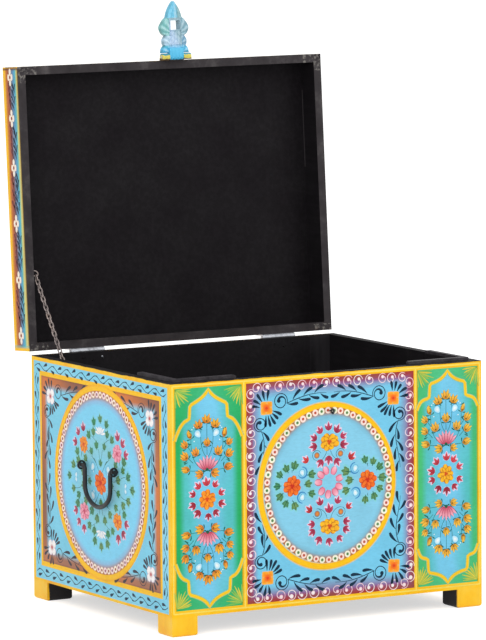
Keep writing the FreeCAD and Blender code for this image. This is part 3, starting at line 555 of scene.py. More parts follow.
def green_panel(canvas, left, right, lotus_up, lotus_down, tones, drops, gold):
    """A tall green panel: a cusped arch at each end, two bouquets and a wreath of leaves."""
    middle, side = (left + right) / 2, (right - left) / 2
    bottom, top = PANEL_BOTTOM, PANEL_TOP
    green = blended(GREEN, paint(112, 216, 150), 0.5 * gold)
    upper = arch_half(top - 3.5, 29.5, side, drops[0])
    lower = [(u, bottom + top - 1.5 - v) for u, v in arch_half(top - 3.5, 32.5, side, drops[1])]

    def colour(u, v):
        offset = abs(u - middle)
        roof = np.interp(offset, [p[0] for p in upper], [p[1] for p in upper])
        floor = np.interp(offset, [p[0] for p in lower], [p[1] for p in lower])
        if v > roof or v < floor:
            return blended(green, GREEN_SOFT, 0.5 - offset / side * 0.5)
        blue = blended(SKY, SKY_DEEP, 0.45 * math.exp(-((v - 250) / 30) ** 2)
                       + 0.45 * math.exp(-((v - 130) / 30) ** 2))
        inner = blended(blue, TEAL, (offset - 10) / 26 + 0.2 * math.sin(v / 23 + u / 9))
        return blended(green, inner, (side - offset - 7) / 9)

    canvas.lift = 1
    canvas.field((left, bottom), (right, top), colour, 2.0)
    canvas.lift = 2
    for u in (left + 0.9, right - 0.9):
        canvas.stroke([(u, bottom), (u, top)], 0.9, OLIVE)
    for u, side_way in ((left + 1.5, 1), (right - 1.5, -1)):
        for v, way in ((top - 2, -1), (bottom + 3, 1)):
            greener = 0.5 if u > 0 and way > 0 else 1
            for n in range(9):
                angle = Spot((u, v), side_way, way).aim(2 + 11 * n + wobble(3))
                tone = blended(paint(226, 204, 68), paint(120, 190, 90), rng.random() * greener)
                path = [from_centre((u, v), angle + 5 * k / 3, (25 + wobble(3)) * k / 3) for k in range(4)]
                canvas.stroke(path, [0.4, 1.3, 1.6, 0.4], tone, edge=blended(OLIVE, GREEN, 0.7),
                              layer=0.3 * (n % 3))
    canvas.lift = 3
    for half in (upper, lower):
        path = [(middle - u, v) for u, v in half[:0:-1]] + [(middle + u, v) for u, v in half]
        canvas.stroke(path, 3.3, paint(226, 206, 70), edge=blended(OLIVE, TEAL, 0.6))
        canvas.stroke(path, 1.9, YELLOW, edge=paint(236, 212, 70), layer=1)
    canvas.lift = 2
    bouquet(canvas, (middle - 2.5, lotus_up), 1, 1.0, gold)
    bouquet(canvas, (middle - 2.5, lotus_down), -1, 0.94, gold)
    centre = (middle - 3, (lotus_up + lotus_down) / 2 + 2)
    for n in range(10):
        angle = 90 + 36 * n + wobble(5)
        red = 0.5 + 0.5 * math.sin(math.radians(angle + 20))
        tone = (blended(WINE_DARK, WINE, red * 0.5), blended(WINE, paint(236, 76, 84), red), WINE_HALO)
        sprig(canvas, from_centre(centre, angle, 24.5), angle, 12, tone)
    canvas.lift = 3
    rose(canvas, centre, 12.2, tones, flat=1.06)


def bouquet(canvas, foot, way, scale, gold):
    """Buds and leaves above a lotus, or below it, with their stems."""
    stems = (((0, -8), (16, -11), (27, 6), (25, 36)), ((0, 6), (9, 14), (11, 30), (9, 48)),
             ((0, -8), (10, -12), (24, -12), (36, -8)), ((22, 0), (26, 4), (30, 8), (36, 11)),
             ((24, 14), (27, 20), (31, 24), (35, 27)), ((10, 20), (13, 18), (16, 14), (18, 10)),
             ((0, -8), (5, -10), (9, -14), (13, -16)))
    buds = ((28, 40, 76, 13.5, 0.3), (35.8, 27, 56, 13, 0.7), (36, 11, 30, 13.5, 0.7), (34.5, -8, 6, 15, 0.5),
            (13.5, -15.8, -6, 13.5, 0.8))
    for side in (-1, 1):
        spot = Spot(foot, side, way, scale)
        for stem in stems:
            canvas.stroke(spot.curve(stem), 0.38, LEAF_DARK)
        bud(canvas, *spot.to(13.6, 54, 74), 13.4, 1, gold)
        bulb(canvas, *spot.to(14.2, 39.5, 52), 12.5)
        bud(canvas, *spot.to(18.5, 16, 76), 14, 0.8, gold)
        for u, v, angle, size, slim in buds:
            bud(canvas, *spot.to(u, v, angle - wobble(8)), size, slim, gold)
        for u, v, angle in ((24, 44, 20), (7, 45, 30), (30, 2, -20), (24, 26, 15), (9, 24, 130)):
            comma(canvas, *spot.to(u, v, angle), 6.5, 1.9, LEAF_DARK, 1, 20 * side)
        for u, v in ((21, 49), (23.4, 46.4), (20, 30)):
            dot(canvas, spot.at(u, v), 1.7, WHITE, layer=1)
    middle = Spot(foot, 1, way, scale)
    canvas.stroke([middle.at(0, 8), middle.at(0, 58)], 0.38, LEAF_DARK)
    bud(canvas, middle.at(0, 61), 90 * way, 14, 1, gold)
    bud(canvas, middle.at(0, 28.2), 90 * way, 14, 0.7, gold)
    lotus(canvas, foot, 90 * way)


def corner_scrolls(canvas, centre, way_u, way_v, reach_u, reach_v, colour):
    """Strokes round a corner flower, two scrolls beside it and the feathers that run from them."""
    spot, hand = Spot(centre, -way_u, way_v), -way_u * way_v
    for angles, length in (((82, 103, 126, 150, 172), 14), ((-94, -76, -58, -41, -24), 15.5)):
        rays(canvas, centre, [spot.aim(angle) for angle in angles], length, colour)
    scroll(canvas, spot.at(23, 8.5), 10.5, spot.aim(-25), hand, colour)
    scroll(canvas, spot.at(-10.5, -22.5), 9.5, spot.aim(-75), -hand, colour)
    stem = (32.5, 4.5), (32 + reach_u * 0.35, 12), (32 + reach_u * 0.6, 17), (32 + reach_u, 15)
    feather(canvas, spot.curve(stem, 12), colour, hand)
    stem = (-8, -32), (2, -32 - reach_v * 0.35), (-9, -32 - reach_v * 0.6), (-11, -32 - reach_v)
    feather(canvas, spot.curve(stem, 12), colour, -hand)


def oval_ring(canvas, centre, across, up, width, beside):
    """A yellow oval ring with a soft glow beside it."""
    path = ellipse(centre, across, up, 96)[::-1]
    canvas.stroke(path, width + 1.6, YELLOW, edge=blended(YELLOW, beside, 0.6), closed=True)
    canvas.stroke(path, width, YELLOW, edge=blended(YELLOW, YELLOW_DEEP, 0.5), closed=True, layer=0.5)


def centre_panel(canvas, left, right):
    """The square middle panel: a red border of curls round an oval of flowers."""
    bottom, top = PANEL_BOTTOM, PANEL_TOP

    def colour(u, v):
        edge = min(u - left, right - u, v - bottom, top - v)
        away = max(abs(u - left), abs(v - top))
        fade = 12 + 3 * math.sin(u / 31 + 1) + 3 * math.sin(v / 43 + 2) + max(9 - away / 9, 0)
        fade += 5 if u > right - 26 or v < bottom + 26 else 0
        if edge < 9:
            rim = blended(paint(164, 54, 44), paint(150, 74, 62), 0.5 + 0.5 * math.sin(u / 23 + v / 19))
            return blended(rim, blended(MAROON, PLUM, 0.5), (edge - 2) / 7)
        return blended(blended(MAROON, PLUM, 0.85), SKY, ((edge - 9) / fade) ** 0.8)

    canvas.lift = 1
    canvas.field((left, bottom), (right, top), colour, 3.0)
    canvas.lift = 2
    inset = 7.3
    corners = [(left + inset, bottom + inset), (right - inset, bottom + inset),
               (right - inset, top - inset), (left + inset, top - inset)]
    for start, end, way in zip(corners, corners[1:] + corners[:1], (200, 290, 20, 110)):
        edge_curls(canvas, start, end, way)
    tones = (blended(ORANGE_PALE, SKY, 0.3), ORANGE_PALE, ORANGE, ORANGE_RED)
    for way_u, way_v in CORNERS:
        place = (3 + way_u * 102, 188 + way_v * 118)
        corner_scrolls(canvas, place, way_u, way_v, 64, 66, NAVY)
        corner_flower(canvas, place, 19, SQUARE, tones)
    across, up, centre = 106.7, 112.7, (-0.8, 191.8)
    canvas.lift = 4
    oval_ring(canvas, (-3, 191), across, up, 4.4, SKY)
    canvas.lift = 5.2

    def shade(share):
        if share > 0.935:
            return paint(176, 108, 62)
        haze = blended(SKY, paint(150, 206, 226), 0.45)
        return blended(haze, paint(112, 150, 168), (share - 0.86) / 0.09)

    canvas.disc(centre, across - 4.1, up - 4.1, shade)
    canvas.lift = 6
    beads(canvas, centre, across - 8.4, up - 8.5, 60,
          ((paint(250, 215, 200), paint(200, 90, 70)), (paint(240, 240, 208), paint(90, 140, 80))))
    oval_flowers(canvas)


def oval_flowers(canvas):
    """Four flowers round a wreath of pink petals, joined by leaves, bulbs and thin curls."""
    centre = (0.6, 196)
    for n in range(9):
        angle = 20 + 40 * n + wobble(5)
        petal(canvas, from_centre(centre, angle, 11.2), angle + wobble(12), 12, 11,
              (PINK_DEEP, blended(PINK, PINK_DEEP, rng.random() * 0.4), PINK_PALE), 0.45 * n, ROUNDED)
    above = ((14.3, 17.5, 30), (24, 7.5, 62), (24.8, -5, 96), (13.8, -29, 150), (37.3, -22, 40))
    below = ((17, 18.5, 36), (27.8, 6.5, 62), (28.5, -5, 96), (14.5, -36, 165), (32.3, -26.5, 130))
    for way, flower_v, leaves, buds in ((1, 252, above, -17.5), (-1, 134, below, -19)):
        up = 90 * way
        for side in (-1, 1):
            spot = Spot((0, flower_v), side, way)
            for u, v, angle in leaves:
                sprig(canvas, *spot.to(u, v, 90 - angle), 12.6, RED_LEAF if u > 30 else WINE_LEAF)
            place = spot.at(19, buds)
            canvas.stroke(arc(place, 7.0, up - 70, up + 200, 12), swelling(12, 0.9), NAVY_SOFT)
            canvas.stroke(spot.curve(((3, -12), (6, -22), (12, -26), (19, -26))), 0.35, NAVY_SOFT)
            dot(canvas, place, 9.4, paint(110, 130, 130), layer=1)
            dot(canvas, place, 7.6, paint(196, 112, 60), paint(236, 150, 66), layer=2)
        sprig(canvas, (0, flower_v + way * 21.8), up, 13.5, WINE_LEAF)
        sprig(canvas, (0, flower_v - way * 25.5), -up, 15, WINE_LEAF)
        rose(canvas, (1, flower_v), 15, GOLD_TONES, flat=0.74)
    for side, flower_u in ((-1, -58.8), (1, 62.6)):
        flower = (flower_u, 194.5)
        spot = Spot(flower, side)
        for angle, reach in ((98, 29), (70, 27), (41, 26.5), (4, 24), (-34, 24), (-66, 26), (-98, 28)):
            leaf(canvas, from_centre(flower, spot.aim(angle), reach), spot.aim(angle), 13.2, GREEN_LEAF)
        for u, v in ((27.3, 13.5), (33, 0.5), (27.3, -13.5)):
            leaf(canvas, (side * u, 195.5 + v), spot.aim(180 - v), 13.6, GREEN_LEAF)
        for way in (-1, 1):
            place = (side * 42.6, 195 + way * 17)
            canvas.stroke(arc(place, 8.2, 90 * way, 90 * way + side * 250, 14, -1.5), swelling(14, 2.4),
                          paint(52, 136, 196))
            bulb(canvas, place, spot.aim(70 * way), 10.5)
        for v in (-31, 30):
            comma(canvas, (flower_u, 195 + v * 0.6), 90 if v > 0 else -90, 8, 1.6, LEAF_DARK)
        rose(canvas, flower, 13.6, RED_TONES, paint(206, 40, 24))


def paint_front(material):
    canvas = Canvas((0, front_y, 0), X, Z, -Y)
    green_panel(canvas, -243.8, -137.6, 238.3, 131.7, ORANGE_TONES, (68, 63), 0.1)
    green_panel(canvas, 143.8, 244, 245, 136.7, GOLD_TONES, (53, 52), 0.7)
    centre_panel(canvas, -131, 138.5)
    canvas.lift = 1
    bottom, top = PANEL_BOTTOM - 4, PANEL_TOP + 3.6
    # The yellow lines are pale along their middle, a painted highlight.
    for u in (-247, -134.6, 141.4, 247):
        canvas.stroke([(u, bottom), (u, top)], 1.5, YELLOW_PALE, edge=YELLOW)
    for v in (bottom, top):
        canvas.stroke([(-247, v), (247, v)], 1.5, YELLOW_PALE, edge=YELLOW, layer=0.6)
    canvas.piece("front_ornament", "carcass", material)


def wreath(canvas, centre):
    """Leaves round a large flower, with four flowers and two white blossoms."""
    stems = (((4, 14), (16, 34), (26, 34), (40, 42)), ((2, 30), (4, 50), (14, 62), (30, 64)),
             ((30, 6), (50, 2), (60, 20), (80, 15)))
    leaves = ((18.5, 84, 70), (20, 70, 75), (34, 64, 45), (11.5, 52, 78), (26.5, 42, 55), (44, 30, 30),
              (51, 9.5, 15), (65, 24.5, 35), (68, 37, 55), (80, 17, 20))
    for side in (-1, 1):
        for way in (-1, 1):
            spot, pink = Spot(centre, side, way), side * way > 0
            for stem in stems:
                canvas.stroke(spot.curve(stem), 0.4, LEAF_DARK)
            tone = GREEN_LEAF if pink else (LEAF_DARK, blended(LEAF, GREEN, 0.4), LEAF_HALO)
            for u, v, angle in leaves:
                leaf(canvas, *spot.to(u, v, angle), 13.6 + wobble(0.8), tone)
            bulb(canvas, *spot.to(23, 20, 130), 14)
            for n, tone in enumerate((SKY_DEEP, WHITE, SKY_DEEP)):
                comma(canvas, *spot.to(15 + 4 * n, 24, -80), 12, 1.6, tone, 0.4 + 0.2 * n, 30)
            comma(canvas, *spot.to(12, 26, 40), 10, 1.8, LEAF_DARK)
            comma(canvas, *spot.to(56, 30, 100), 8, 1.8, LEAF_DARK)
            across, up = 48.5, 46 if pink else 48.5
            for u, v, angle in ((1.5, 25, 90), (17, 17, 48), (26, 1.5, 12)):
                sprig(canvas, *spot.to(across + u, up + v, angle), 14.5, WINE_LEAF)
            if pink:
                rose(canvas, spot.at(across, up), 13.5, PINK_TONES, PINK_DEEP, 0.5, 0.9)
            else:
                rose(canvas, spot.at(across, up), 11.8, ORANGE_TONES, ORANGE_RED, 0.5, 0.95)
        beside, upright = Spot(centre, side), Spot(centre, 1, side)
        leaf(canvas, *beside.to(92, 0, 0), 13.5, GREEN_LEAF)
        leaf(canvas, *beside.to(32, -1, 180), 12.5, GREEN_LEAF)
        for way in (-1, 1):
            bulb(canvas, beside.at(72, way * 3.5), beside.aim(0) + way * 62, 9)
        leaf(canvas, upright.at(0, 90), 90 * side, 13.5, GREEN_LEAF)
        leaf(canvas, upright.at(0, 28), 90 * side, 12.5, GREEN_LEAF)
        for n, spread in enumerate((-84, 84, -56, 56, -28, 28, 0)):
            petal(canvas, upright.at(0, 69), 90 * side + spread, 15 if abs(spread) > 50 else 11, 6,
                  (SKY_DEEP, WHITE, WHITE), 1 + 0.3 * n)
    rose(canvas, centre, 15.5, RED_TONES, paint(206, 40, 24), 0.5, 1.02)


def framed_oval(canvas, low, high, centre, across, up, flowers, bead_count):
    """The face that the sides and the lid share: a vine border round a field with an oval."""
    (left, bottom), (right, top) = low, high
    canvas.lift = 1
    bright = paint(128, 208, 234)
    canvas.field((left, bottom - 2), high,
                 lambda u, v: blended(bright, SKY_PALE, 0.35 * math.sin(u / 60 + v / 90) ** 2), 9.0)
    canvas.lift = 2
    wave, turn = 8.3, 18
    for start, end in (((left + 3, top - wave), (right - 3, top - wave)),
                       ((right - wave, top - turn), (right - wave, bottom + turn)),
                       ((right - 3, bottom + wave - 1), (left + 3, bottom + wave - 1)),
                       ((left + wave, bottom + turn), (left + wave, top - turn))):
        wave_border(canvas, start, end)
    canvas.lift = 3
    canvas.field((left + 17, bottom + 17), (right - 17, top - 13.5), YELLOW)
    field_low, field_high = (left + 22.5, bottom + 24), (right - 22.5, top - 20)

    def colour(u, v):
        edge = min(u - field_low[0], field_high[0] - u, v - field_low[1], field_high[1] - v)
        warm = blended(paint(140, 88, 66), paint(214, 120, 56), 0.5 + 0.5 * math.sin(u / 37 + v / 51))
        warm = blended(warm, paint(196, 132, 100), 0.4 if v < field_low[1] + 20 else 0.0)
        warm = blended(warm, BROWN_DARK, 0.4 - edge / 8)
        return blended(warm, bright, (edge - 10.5) / 8)

    canvas.lift = 4
    canvas.field(field_low, field_high, colour, 3.0)
    canvas.lift = 5
    dark = blended(NAVY, BROWN_DARK, 0.3)
    tones = (blended(PINK_PALE, MAUVE, 0.5), WHITE, WHITE, blended(PINK_DEEP, BROWN, 0.4))
    for way_u, way_v in CORNERS:
        place = ((left + right) / 2 + way_u * flowers[0], (bottom + top) / 2 + way_v * flowers[1])
        corner_scrolls(canvas, place, way_u, way_v, flowers[0] - 62, flowers[1] - 42, dark)
        corner_flower(canvas, place, 21, EGG, tones)
    canvas.lift = 7
    oval_ring(canvas, centre, across, up, 4.2, YELLOW_DEEP)
    canvas.lift = 8.2

    def shade(share):
        if share > 0.9:
            return paint(184, 112, 66)
        greyer = 0.5 * math.exp(-((share - 0.4) / 0.17) ** 2)
        haze = blended(paint(130, 212, 244), paint(146, 200, 196), greyer)
        return blended(haze, paint(150, 180, 216), (share - 0.86) / 0.04)

    canvas.disc(centre, across - 3.5, up - 3.5, shade)
    canvas.lift = 9
    beads(canvas, centre, across - 8.8, up - 8.8, bead_count,
          ((CREAM, blended(BROWN, MAROON, 0.5)), (paint(248, 214, 214), blended(MAROON, PLUM, 0.3))))
    wreath(canvas, (centre[0] - 1, centre[1]))


def paint_side(name, side, material):
    """A side of the box: the left one and its mirror image."""
    canvas = Canvas((side * half_width, middle_y, 0), Y * side, Z, X * side)
    rear, front = side * (lid_depth / 2 / MM - 7), -side * (lid_depth / 2 / MM - 8.5)
    low = (min(rear, front), base_z / MM + 6)
    high = (max(rear, front), rim_z / MM - 6)
    framed_oval(canvas, low, high, (-side * 2.5, 190), 132, 132, (145, 108), 76)
    canvas.piece(name, "carcass", material)


def lid_edge_colour(depth, along):
    """The lid's edge, from its rim to its top: pale yellow, teal, blue, purple, red-brown and yellow."""
    shift = 3.5 * (1 - along / 400)
    stops = ((0, paint(112, 84, 26)), (3.5, paint(150, 118, 40)), (4.8, paint(224, 206, 120)),
             (6.5 + shift, paint(206, 206, 130)), (8.5 + shift, paint(96, 188, 178)),
             (12 + shift, paint(84, 170, 206)), (17 + shift, paint(92, 140, 178)), (24, paint(104, 94, 112)),
             (29, paint(150, 84, 64)), (35, paint(184, 96, 44)), (38.5, paint(216, 142, 40)),
             (41.5, YELLOW), (60, YELLOW))
    for (low, first), (high, last) in zip(stops, stops[1:]):
        if depth <= high:
            return blended(first, last, (depth - low) / (high - low))
    return YELLOW


def edge_flowers(canvas, places, at, turn):
    """White flowers along the lid's edge with slanting dark leaves between them."""
    for first, last in zip(places, places[1:]):
        gap = last - first - 24
        count = max(round(gap / EDGE_LEAF_SPACING), 2)
        for n in range(count):
            v = first + 11 + gap * n / count
            comma(canvas, at(15 + wobble(1.5), v), turn(58 + wobble(10)), 15, 4.6, NAVY, 0, -30)
            comma(canvas, at(25 + wobble(1.5), v + 3), turn(66 + wobble(12)), 14, 5.2,
                  blended(BROWN_DARK, WINE_DARK, 0.6), 0, 30)
            if n % 2:
                comma(canvas, at(12.5, v - 2), turn(95), 15, 3.2, NAVY, 0.5, 40)
                comma(canvas, at(20 + wobble(2), v + 4), turn(70 + wobble(12)), 6, 1.3,
                      paint(170, 184, 208), 0.5)
        path = [at(22 + 4.5 * math.sin(math.pi * n / 6), first + 10 + (gap + 4) * n / 12) for n in range(13)]
        canvas.stroke(path, 0.5, NAVY)
    for place in places:
        cross_flower(canvas, at(25, place))


def paint_lid_side(name, side, material):
    canvas = Canvas(hinge + X * side * half_width, lid_out, lid_up, X * side)
    start, reach = knuckle / MM, (lid_depth + knuckle) / MM

    def colour(u, v):
        tone = lid_edge_colour(u, v)
        tone = blended(tone, TEAL, 0.5 if v < start + 8 else 0)
        return blended(blended(YELLOW, tone, (v - start - 4) / 1.5), BROWN_DARK, (v - reach + 5) / 2)

    canvas.field((1.4, start + 1), (lid_thickness / MM - 0.3, reach - 1.5), colour, (1.5, 2.0))
    canvas.lift = 2
    edge_flowers(canvas, LID_FLOWERS, lambda depth, along: (depth, along), lambda angle: angle)
    canvas.piece(name, "lid", material)


def paint_lid_front(material):
    """The lid's front rail, in the manner of its sides, to the left and right of the hasp's block."""
    canvas = Canvas(lid_face, X, lid_out, lid_up)
    reach = half_width / MM
    for first, last in ((-reach + 1, HASP_GAP[0]), (HASP_GAP[1], reach - 1)):
        def colour(u, v, first=first, last=last):
            edge = min(u - first, last - u)
            return blended(YELLOW, lid_edge_colour(v, 200), (edge - 3) / 2)

        canvas.lift = 1
        canvas.field((first, 3), (last, lid_thickness / MM - 0.3), colour, (4.0, 1.5))
        canvas.lift = 2
        places = [first + 20 + (last - first - 40) * n / 3 for n in range(4)]
        edge_flowers(canvas, places, lambda depth, along: (along, depth), lambda angle: 90 - angle)
    canvas.lift = 1
    canvas.field((HASP_GAP[0] - 0.4, 3), (HASP_GAP[1] + 0.4, lid_thickness / MM - 0.3), YELLOW, 1.5)
    canvas.piece("lid_front_ornament", "lid", material)


def paint_lid_top(material):
    """The outside of the lid, painted like the sides."""
    centre = hinge + lid_out * lid_thickness + lid_up * (knuckle + lid_depth / 2)
    canvas = Canvas(centre, X, -lid_up, lid_out)
    half_u, half_v = half_width / MM - 6, lid_depth / 2 / MM - 6
    framed_oval(canvas, (-half_u, -half_v), (half_u, half_v), (1, 0), 150, 140, (188, 141), 92)
    canvas.piece("lid_top_ornament", "lid", material)


# Materials

class Nodes:
    """A node tree under construction. Its calls return sockets."""

    def __init__(self, tree):
        self.tree = tree

    def feed(self, socket, value):
        if isinstance(value, bpy.types.NodeSocket):
            self.tree.links.new(value, socket)
        else:
            socket.default_value = value

    def node(self, kind, inputs=(), **settings):
        made = self.tree.nodes.new("ShaderNode" + kind)
        for name, value in settings.items():
            setattr(made, name, value)
        for key, value in dict(inputs).items():
            self.feed(made.inputs[key], value)
        return made

    def math(self, operation, first, last=0.0):
        return self.node("Math", {0: first, 1: last}, operation=operation).outputs[0]

    def by_ray(self, lighting, looking):
        """One value for rays that carry light, another for those of the camera, a reflection or glass."""
        path = self.node("LightPath").outputs
        seen = path["Is Camera Ray"]
        for name in ("Is Glossy Ray", "Is Transmission Ray"):
            seen = self.math("MAXIMUM", seen, path[name])
        return self.node("MapRange", {"Value": seen, "To Min": lighting, "To Max": looking}).outputs[0]


class Shader(Nodes):
    """A material under construction."""

    def __init__(self, name, specular=0.5, roughness=0.4, metallic=0.0):
        self.material = bpy.data.materials.new(name)
        self.material.use_nodes = True
        super().__init__(self.material.node_tree)
        self.surface = self.tree.nodes["Principled BSDF"].inputs
        self.dress({"Roughness": roughness, "Metallic": metallic, "Specular IOR Level": specular})
        self.place = self.node("TexCoord").outputs["Object"]

    def dress(self, values):
        for name, value in values.items():
            self.feed(self.surface[name], value)

    def noise(self, size, detail=4.0, rough=0.55, stretch=(1, 1, 1)):
        """Noise whose patches measure about size metres."""
        scaled = self.node("Mapping", {"Vector": self.place, "Scale": stretch}).outputs[0]
        return self.node("TexNoise", {"Vector": scaled, "Scale": 1 / size, "Detail": detail,
                                      "Roughness": rough}).outputs["Fac"]

    def tones(self, size, stops, *grain):
        """Noise through a ramp of greys or colours."""
        made = self.node("ValToRGB", {"Fac": self.noise(size, *grain)})
        elements = made.color_ramp.elements
        while len(elements) < len(stops):
            elements.new(0.5)
        for element, (place, colour) in zip(elements, stops):
            element.position = place
            element.color = colour if isinstance(colour, tuple) else (colour, colour, colour, 1)
        return made.outputs["Color"]

    def mix(self, factor, first, last, blend="MIX"):
        """A colour mix; its sockets for colours are numbers 6 and 7, and its result is number 2."""
        made = self.node("Mix", data_type="RGBA", blend_type=blend)
        for key, value in ((0, factor), (6, first), (7, last)):
            self.feed(made.inputs[key], value)
        return made.outputs[2]

    def along(self, axis):
        both = {0: self.place, 1: tuple(axis)}
        return self.node("VectorMath", both, operation="DOT_PRODUCT").outputs["Value"]

    def above(self, axis, limit):
        return self.math("GREATER_THAN", self.along(axis), limit)

    def below(self, axis, limit):
        return self.math("LESS_THAN", self.along(axis), limit)

    def inside(self, limits):
        """1 where the place lies between the limits along each axis, a little clear of them."""
        result, margin = 1.0, 0.05 * MM
        for axis, low, high in limits:
            if low is not None:
                result = self.math("MULTIPLY", result, self.above(axis, low + margin))
            if high is not None:
                result = self.math("MULTIPLY", result, self.below(axis, high - margin))
        return result

    def ragged(self, low, high, size=0.03):
        """A width between two limits, in metres, that changes along an edge."""
        share = self.tones(size, [(0.35, 0.0), (0.7, 1.0)], 3.0)
        return self.math("ADD", self.math("MULTIPLY", share, high - low), low)

    def finish(self, colour, roughness, height, strength, distance=0.0004):
        bump = self.node("Bump", {"Height": height, "Strength": strength, "Distance": distance})
        self.dress({"Base Color": colour, "Roughness": roughness, "Normal": bump.outputs[0]})
        return self.material


def enamel_yellow(shader):
    """Brushed yellow enamel: paler and deeper patches, and small chips."""
    patches = shader.tones(0.05, [(0.3, YELLOW_DEEP), (0.5, YELLOW), (0.75, YELLOW_PALE)])
    brushed = shader.tones(0.006, [(0.35, 0.96), (0.65, 1.01)], 3.0, 0.6, (1, 1, 0.15))
    base = shader.mix(1.0, shader.mix(0.55, YELLOW, patches), brushed, "MULTIPLY")
    chips = shader.tones(0.0035, [(0.74, 0.0), (0.8, 1.0)], 2.0)
    return shader.mix(shader.math("MULTIPLY", chips, 0.35), base, BROWN)


def lacquer_black(shader, dust=1.0):
    """Flat black lacquer: dust, brush marks along the boards and a few rubbed streaks."""
    base = shader.tones(0.07, [(0.35, paint(20, 17, 20)), (0.7, paint(27, 25, 27))], 5.0)
    brushed = shader.tones(0.006, [(0.4, 0.85), (0.65, 1.25)], 3.0, 0.6, (1, 0.12, 1))
    base = shader.mix(1.0, base, brushed, "MULTIPLY")
    rubbed = shader.tones(0.012, [(0.62, 0.0), (0.75, 1.0)], 4.0, 0.6, (1, 1, 0.12))
    return shader.mix(shader.math("MULTIPLY", rubbed, 0.25 * dust), base, paint(52, 49, 52))


def two_tone(shader, black, dark):
    """Yellow enamel outside and black inside, with the gloss of each."""
    rough = shader.tones(0.03, [(0.3, 0.28), (0.7, 0.42)])
    return (shader.mix(black, enamel_yellow(shader), dark),
            shader.math("MAXIMUM", rough, shader.math("MULTIPLY", black, 0.66)))


def box_material():
    """The box's boards, black inside and on the rim, from where the black laps a little over the edge."""
    shader = Shader("painted_box", specular=0.14)
    black = shader.inside(((X, -half_width, half_width), (Y, front_y, back_y), (Z, base_z, None)))
    lap = shader.math("SUBTRACT", rim_z, shader.ragged(0.2 * MM, 1.3 * MM))
    black = shader.math("MAXIMUM", black, shader.above(Z, lap))
    top = shader.above(Z, rim_z - 0.4 * MM)
    worn = shader.tones(0.016, [(0.35, paint(16, 15, 16)), (0.75, paint(46, 43, 44))], 6.0, 0.65)
    # A painted sheen: light vertical streaks on the black of the back wall's inside, near the right corner.
    corner = shader.inside(((X, half_width - 48 * MM, half_width - 14 * MM), (Y, back_y - 14 * MM, None)))
    gloss = shader.tones(0.02, [(0.4, 0.0), (0.6, 0.6)], 2.0, 0.5, (1, 1, 0.1))
    inner = shader.mix(shader.math("MULTIPLY", corner, gloss), lacquer_black(shader), paint(52, 50, 53))
    looks = two_tone(shader, black, shader.mix(top, inner, worn))
    return shader.finish(*looks, shader.noise(0.004, 3.0, 0.6, (1, 1, 0.25)), 0.12)


LID_LIMITS = ((X, -half_width, half_width), (lid_up, lid_end - lid_depth, lid_end),
              (lid_out, None, lid_seat + lid_thickness))


def lid_material():
    shader = Shader("painted_lid", specular=0.08)
    looks = two_tone(shader, shader.inside(LID_LIMITS), lacquer_black(shader, 0.4))
    return shader.finish(*looks, shader.noise(0.004, 3.0, 0.6, (0.25, 1, 1)), 0.1)


def rail_material():
    """The lid's rails: grey worn rims, black that laps onto the outer faces, and inside on the right a
    painted highlight where the top board meets the rail.
    """
    shader = Shader("lid_rails", specular=0.12)
    black = shader.inside(LID_LIMITS)
    lap = shader.math("ADD", lid_seat + lid_rim, shader.ragged(0.9 * MM, 2.6 * MM))
    black = shader.math("MAXIMUM", black, shader.below(lid_out, lap))
    lap = shader.math("SUBTRACT", lid_end, shader.ragged(0.3 * MM, 1.6 * MM))
    black = shader.math("MAXIMUM", black, shader.above(lid_up, lap))
    greys = [(0.3, paint(44, 40, 42)), (0.55, paint(58, 54, 56)), (0.8, paint(92, 88, 88))]
    streaks = shader.tones(0.008, greys, 6.0, 0.65, (0.25, 1, 0.25))
    edge_x = shader.math("ABSOLUTE", shader.along(X))
    ends = shader.math("MAXIMUM", shader.above(lid_up, lid_end - 24 * MM),
                       shader.below(lid_up, lid_end - lid_depth + 10 * MM))
    corner = shader.math("MULTIPLY", shader.math("GREATER_THAN", edge_x, half_width - 30 * MM), ends)
    scuffs = shader.tones(0.004, [(0.5, 0.0), (0.62, 1.0)], 4.0)
    worn = shader.mix(shader.math("MULTIPLY", corner, scuffs), streaks, paint(120, 116, 112))
    rim = shader.below(lid_out, lid_seat + lid_rim + 0.3 * MM)
    dark = shader.mix(rim, lacquer_black(shader), worn)
    # A painted highlight: a thin light line inside, where the top board meets the right rail.
    seam_highlight = shader.inside(((X, half_width - 50 * MM, None), (lid_up, lid_end - 165 * MM, lid_end - 52 * MM),
                          (lid_out, lid_seat + 36 * MM, lid_seat + 38.5 * MM)))
    dark = shader.mix(shader.math("MULTIPLY", seam_highlight, 0.4), dark, paint(90, 86, 88))
    return shader.finish(*two_tone(shader, black, dark), shader.noise(0.004, 3.0, 0.6, (0.25, 1, 1)), 0.15)


def batten_material():
    """Black battens, rubbed grey along their upper edges."""
    shader = Shader("rubbed_battens", specular=0.2)
    high = shader.above(Z, rim_z + 0.3 * MM)
    worn = shader.tones(0.01, [(0.35, paint(44, 41, 45)), (0.7, paint(72, 68, 72))], 5.0)
    return shader.finish(shader.mix(high, lacquer_black(shader), worn), 0.5, shader.noise(0.003), 0.15)


def foot_material():
    """Yellow on the outer faces, black on the inner ones."""
    shader = Shader("painted_feet", specular=0.3)
    black, lap = 1.0, 2 * MM
    for axis, middle, half in ((X, 0.0, half_width), (Y, middle_y, lid_depth / 2)):
        away = shader.math("ABSOLUTE", shader.math("SUBTRACT", shader.along(axis), middle))
        edge = shader.math("SUBTRACT", half - lap, shader.ragged(0.0, lap))
        black = shader.math("MULTIPLY", black, shader.math("LESS_THAN", away, edge))
    return shader.finish(*two_tone(shader, black, lacquer_black(shader)), shader.noise(0.003), 0.15)


